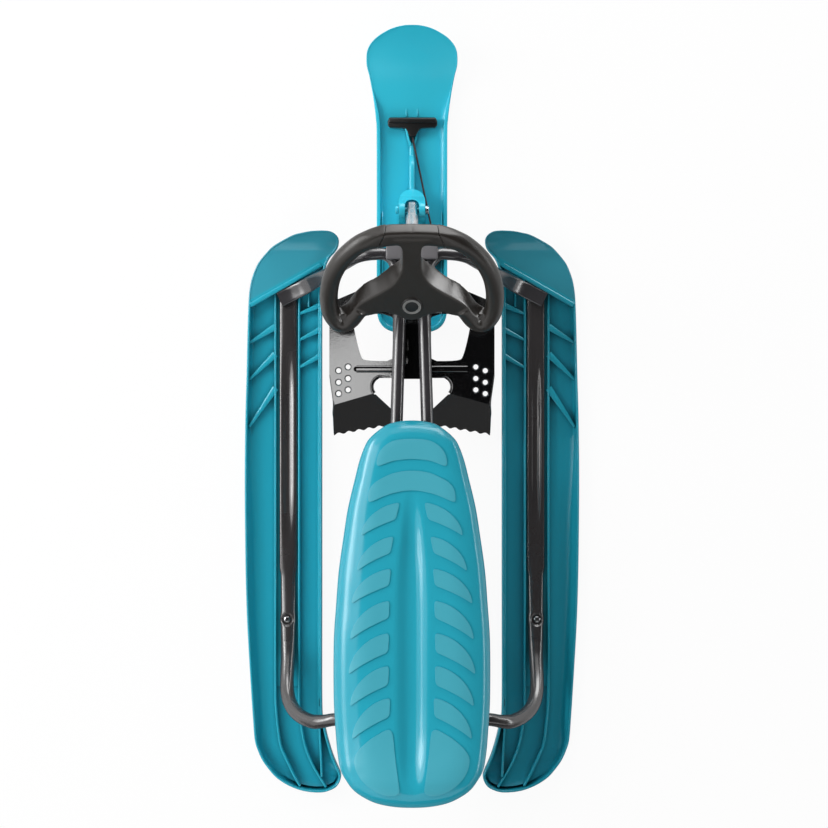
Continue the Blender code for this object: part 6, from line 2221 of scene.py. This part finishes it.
@dataclass
class PullCord:
    """The T-handle, its stem and the taut cord to the reel."""

    start: PlanPoint = (0.0008, 0.4284)
    turn: PlanPoint = (0.0289, 0.2945)
    z: float = 0.0200
    radius: float = 0.0015
    past_turn: float = 0.054
    bar_y: float = 0.4511
    bar_half: float = 0.0386
    bar_width: float = 0.0165
    bar_low: float = 0.0141
    bar_high: float = 0.0279

    def handle(self) -> Obj:
        """The T-bar with its finger step and tapering stem."""
        x, stem = self.start
        front, rear = self.bar_y + self.bar_width / 2.0, self.bar_y - self.bar_width / 2.0
        half = [(self.bar_half - 0.0035, front), (self.bar_half, self.bar_y + 0.0030),
                (self.bar_half, self.bar_y - 0.0036), (self.bar_half - 0.0030, rear + 0.0006),
                (0.0150, rear), (0.0112, rear - 0.0014), (0.0088, rear - 0.0050),
                (0.0045, stem + 0.0018), (0.0026, stem + 0.0008)]
        left = Side.LEFT.turned(reversed(half))
        outline = [(x + across, y) for across, y in left[-2:] + half + left[:-2]]
        bar = Bench.extruded("handle_bar", outline, self.bar_low, self.bar_high - 0.0030)
        Bench.bevel(bar, 0.0016, 3, 40.0)
        reach = self.bar_half - 0.0012
        ridge = Bench.block("ridge", (x - reach, self.bar_y - 0.0006, self.bar_low + 0.003),
                            (x + reach, front - 0.0008, self.bar_high), 0.0022)
        return Bench.merge("pull_handle_bar", [bar, ridge])

    def dress(self, finishes: Finishes) -> None:
        """Builds and dresses handle and cord.

        Args:
            finishes: All finishes.
        """
        place_piece(Bench.smooth(self.handle(), 40.0), finishes.black, Body.HANDLE,
                    "grip_plastic", "pull_handle")
        first, corner = Vector((*self.start, self.z)), Vector((*self.turn, self.z))
        last = corner + (corner - first).normalized() * self.past_turn
        path = fine([first, last], 0.004)
        cord = Sweep(path, SectionSize(self.radius, self.radius), 16, ACROSS).build(
            "pull_cord_braid")
        place_piece(Bench.smooth(cord, 60.0), finishes.cord, Body.HANDLE, "cord_fibre",
                    "pull_cord")
        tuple(path[0])


class Hardware:
    """The CAD nodes that keep their shape, some of them with softened edges."""

    softened: tuple[tuple[str, float], ...] = (
        ("left_head_bracket", 0.0016), ("right_head_bracket", 0.0016), ("centre_plate", 0.0005),
        ("left_rail_bolt", 0.0004), ("right_rail_bolt", 0.0004), ("ski_axle", 0.0005),
        ("ski_axle_nut", 0.0005), ("head_tube", 0.0005))

    def __init__(self, finishes: Finishes) -> None:
        """Chooses a finish for every node.

        Args:
            finishes: All finishes.
        """
        f = finishes
        self.slots = {f.tube.name: "frame_paint", f.block.name: "bracket_plastic",
                      f.enamel.name: "brake_enamel"}
        self.finish = {node: material for material, nodes in (
            (f.block, "left_head_bracket right_head_bracket"),
            (f.enamel, "centre_plate"),
            (f.tube, "head_tube"),
            (f.front_ski, "ski_axle"),
            (f.cord, "cord_winding"),
            (f.bush, "upper_head_bush lower_head_bush reel_spool"),
            (f.black, "left_tube_plug right_tube_plug reel_housing"),
            (f.zinc, "left_rail_bolt right_rail_bolt left_front_screw right_front_screw "
                     "front_seat_clamp rear_seat_clamp front_seat_screw rear_seat_screw "
                     "steering_shaft shaft_collar wheel_bolt ski_axle_nut brake_pivot_rod "
                     "brake_spring reel_spindle reel_spring")) for node in nodes.split()}

    def dress(self) -> None:
        """Gives the nodes their finishes and rounds the chosen ones."""
        nodes = frame["nodes"]
        for name, material in self.finish.items():
            dress(nodes[name], material)
        for name, width in self.softened:
            node, material = nodes[name], self.finish[name]
            piece = node.copy()
            piece.data = node.data.copy()
            piece.name = f"{name}_rounded"
            piece.parent = None
            for key in list(piece.keys()):
                del piece[key]
            bpy.context.scene.collection.objects.link(piece)
            piece.matrix_world = Matrix.Identity(4)
            Bench.seal(piece, 2e-5)
            Bench.bevel(piece, width, 2, 40.0)
            Bench.smooth(piece, 35.0, True)
            body = next(b for b, o in frame["bodies"].items() if node.parent == o)
            place_piece(piece, material, Body(body),
                        self.slots.get(material.name, "zinc_steel"), name)


@dataclass
class Softbox:
    """A rectangular studio lamp, aimed at the sled and seen in reflections if mirrored."""

    name: str
    place: tuple[float, float, float]
    size: tuple[float, float]
    radiance: float
    mirrored: bool = False
    never: str = ""

    def build(self) -> None:
        """Adds the lamp and keeps it off the piece in never."""
        lamp = Bench.fresh(self.name, bpy.ops.object.light_add, type="AREA", location=self.place)
        lamp.data.shape = "RECTANGLE"
        lamp.data.size, lamp.data.size_y = self.size
        lamp.data.energy = self.radiance * math.pi * self.size[0] * self.size[1]
        aim = (Vector((0.0, 0.55, 0.12)) - Vector(self.place)).to_track_quat("-Z", "Y")
        lamp.rotation_euler = aim.to_euler()
        lamp.visible_camera = False
        lamp.visible_glossy = self.mirrored
        if self.never:
            Link.NEVER.tie(lamp, self.never)


@dataclass
class Studio:
    """Floor, lamps, reflecting cards, world and camera."""

    camera_place: tuple[float, float, float] = (0.00314, -0.0036, 4.0)
    lens: float = 110.77
    floor_half: float = 12.0
    world_fill: float = 0.40

    def floor(self) -> None:
        """A white floor that keeps the object's shadow."""
        floor = Bench.fresh("studio_floor", bpy.ops.mesh.primitive_plane_add,
                            size=2.0 * self.floor_half, location=(0, 0, -0.0004))
        material = bpy.data.materials.new("floor_white")
        graph = NodeGraph(material)
        matt = graph.add("BsdfDiffuse", {"Color": (0.86, 0.86, 0.86, 1.0)})
        glow = graph.add("Emission", {"Strength": 1.0})
        seen = graph.add("LightPath", {}).outputs["Is Camera Ray"]
        share = graph.add("Math", {0: seen, 1: 0.93}, operation="MULTIPLY")
        mix = graph.add("MixShader", {0: share.outputs[0], 1: matt.outputs[0],
                                      2: glow.outputs[0]})
        graph.add("OutputMaterial", {"Surface": mix.outputs[0]})
        dress(floor, material)

    def card(self, name: str, corners: Sequence[Sequence[float]], radiance: float,
             link: Link | None = None, piece: str = "wheel_moulding") -> None:
        """A card that only reflections see: bright, or black when radiance is 0.

        Args:
            name: Name of the card.
            corners: Its corners.
            radiance: Its brightness.
            link: How it is tied to a piece, if it is.
            piece: The piece.
        """
        card = Bench.fresh(name, bpy.ops.mesh.primitive_plane_add, size=1.0)
        for vertex, i in zip(card.data.vertices, (0, 1, 3, 2)):
            vertex.co = corners[i]
        material = bpy.data.materials.new(name)
        graph = NodeGraph(material)
        glow = graph.add("Emission", {"Strength": radiance})
        graph.add("OutputMaterial", {"Surface": glow.outputs[0]})
        dress(card, material)
        for rays in ("camera", "diffuse", "shadow", "transmission", "volume_scatter"):
            setattr(card, f"visible_{rays}", False)
        if link:
            link.tie(card, piece)

    def world(self) -> None:
        """White for camera, glossy and transmission rays, a soft fill for the rest."""
        world = bpy.data.worlds.new("studio_world")
        bpy.context.scene.world = world
        graph = NodeGraph(world)
        rays = graph.add("LightPath", {}).outputs
        seen = graph.add("Math", {0: rays["Is Camera Ray"], 1: rays["Is Glossy Ray"]},
                         operation="MAXIMUM")
        also = graph.add("Math", {0: seen.outputs[0], 1: rays["Is Transmission Ray"]},
                         operation="MAXIMUM")
        white = (1.0, 1.0, 1.0, 1.0)
        fill, bright = (graph.add("Background", {"Color": white, "Strength": strength})
                        for strength in (self.world_fill, 1.0))
        mix = graph.add("MixShader", {0: also.outputs[0], 1: fill.outputs[0],
                                      2: bright.outputs[0]})
        graph.add("OutputWorld", {"Surface": mix.outputs[0]})

    def camera(self) -> None:
        """The photograph's camera, straight above the sled."""
        camera = Bench.fresh("photo_camera", bpy.ops.object.camera_add,
                             location=self.camera_place, rotation=(0.0, 0.0, 0.0))
        camera.data.lens = self.lens
        camera.data.sensor_width = 36.0
        camera.data.clip_end = 60.0
        camera.data.dof.use_dof = False
        bpy.context.scene.camera = camera

    def lamps(self) -> None:
        """Adds the lamps."""
        Softbox("key_softbox", (-2.70, 0.95, 1.72), (0.74, 2.8), 6.0).build()
        Softbox("key_spread", (-2.55, 0.70, 1.90), (1.90, 3.1), 1.8, mirrored=True).build()
        Softbox("front_softbox", (0.9, 3.2, 0.9), (2.4, 0.6), 8.5).build()
        for name, place, size, radiance in (
                ("rear_fill", (-0.9, -2.3, 2.4), (1.6, 1.2), 4.8),
                ("front_fill", (-0.4, 2.3, 2.4), (1.4, 1.0), 4.6)):
            Softbox(name, place, size, radiance, never="right_ski_moulding").build()

    def cards(self) -> None:
        """Adds the bright cards and black flags."""
        for name, low, high, front, rear, radiance in (
                ("key_low", (-2.95, 1.25), (-2.85, 1.44), 2.35, -0.55, 3.5),
                ("key_middle", (-2.85, 1.44), (-2.60, 1.90), 2.35, -0.30, 10.0),
                ("key_high", (-2.60, 1.90), (-2.44, 2.20), 2.35, -0.20, 4.5),
                ("key_rear", (-2.85, 1.44), (-2.60, 1.90), -0.30, -0.55, 6.0),
                ("key_end", (-2.85, 1.44), (-2.60, 1.90), -0.55, -1.05, 3.0)):
            self.card(name, [(low[0], rear, low[1]), (low[0], front, low[1]),
                             (high[0], front, high[1]), (high[0], rear, high[1])], radiance,
                      Link.NEVER)
        self.card("slope_card", [(2.42, -0.7, 1.15), (2.42, 0.8, 1.15), (2.10, 0.8, 1.95),
                                 (2.10, -0.7, 1.95)], 13.0, Link.ONLY)
        self.card("black_flag", [(-1.40, -1.9, 2.72), (1.60, -1.9, 2.72), (1.60, 2.0, 2.72),
                                 (-1.40, 2.0, 2.72)], 0.0)
        self.card("side_flag", [(1.60, -2.6, 2.70), (3.40, -2.6, 1.30), (3.40, 2.6, 1.30),
                                (1.60, 2.6, 2.70)], 0.0)
        self.card("rear_flag", [(-2.30, -2.6, 0.0), (2.60, -2.6, 0.0), (2.60, -2.6, 1.0),
                                (-2.30, -2.6, 1.0)], 0.0)
        self.card("floor_flag", [(-1.5, -2.6, 0.003), (1.5, -2.6, 0.003), (1.5, -0.63, 0.003),
                                 (-1.5, -0.63, 0.003)], 0.2)
        self.card("seat_flag", [(-0.125, -0.63, 0.003), (0.125, -0.63, 0.003),
                                (0.125, -0.02, 0.003), (-0.125, -0.02, 0.003)], 0.2)
        self.card("right_line", [(2.80, -1.3, 0.60), (2.80, 2.4, 0.60), (2.77, 2.4, 0.80),
                                 (2.77, -1.3, 0.80)], 8.0)
        self.card("front_card", [(-0.45, 3.0, 0.40), (2.30, 3.0, 0.40), (2.30, 2.8, 2.20),
                                 (-0.45, 2.8, 2.20)], 6.0)
        self.card("wing_card", [(-0.25, -0.25, 1.2), (-0.037, -0.25, 1.2),
                                (-0.037, 0.2098, 1.2), (-0.25, 0.1210, 1.2)], 5.2, Link.ONLY,
                  "foot_brake_plate")

    def build(self) -> None:
        """Sets up the whole studio."""
        self.floor()
        self.world()
        self.lamps()
        self.cards()
        self.camera()
        bpy.context.scene.view_settings.view_transform = "Standard"


def main() -> None:
    """Builds every part of the scene in order."""
    logging.basicConfig(level=logging.INFO, format="%(name)s: %(message)s")
    finishes = Finishes()
    column = ColumnFrame()
    Hardware(finishes).dress()
    FrameTubes().dress(finishes)
    RearSki().build(finishes)
    FrontSki().dress(column, finishes)
    Seat().dress(finishes)
    SteeringWheel(column).dress(finishes)
    BrakePlate().dress(finishes)
    PullCord().dress(finishes)
    Studio().build()


if __name__ == "__main__":
    main()
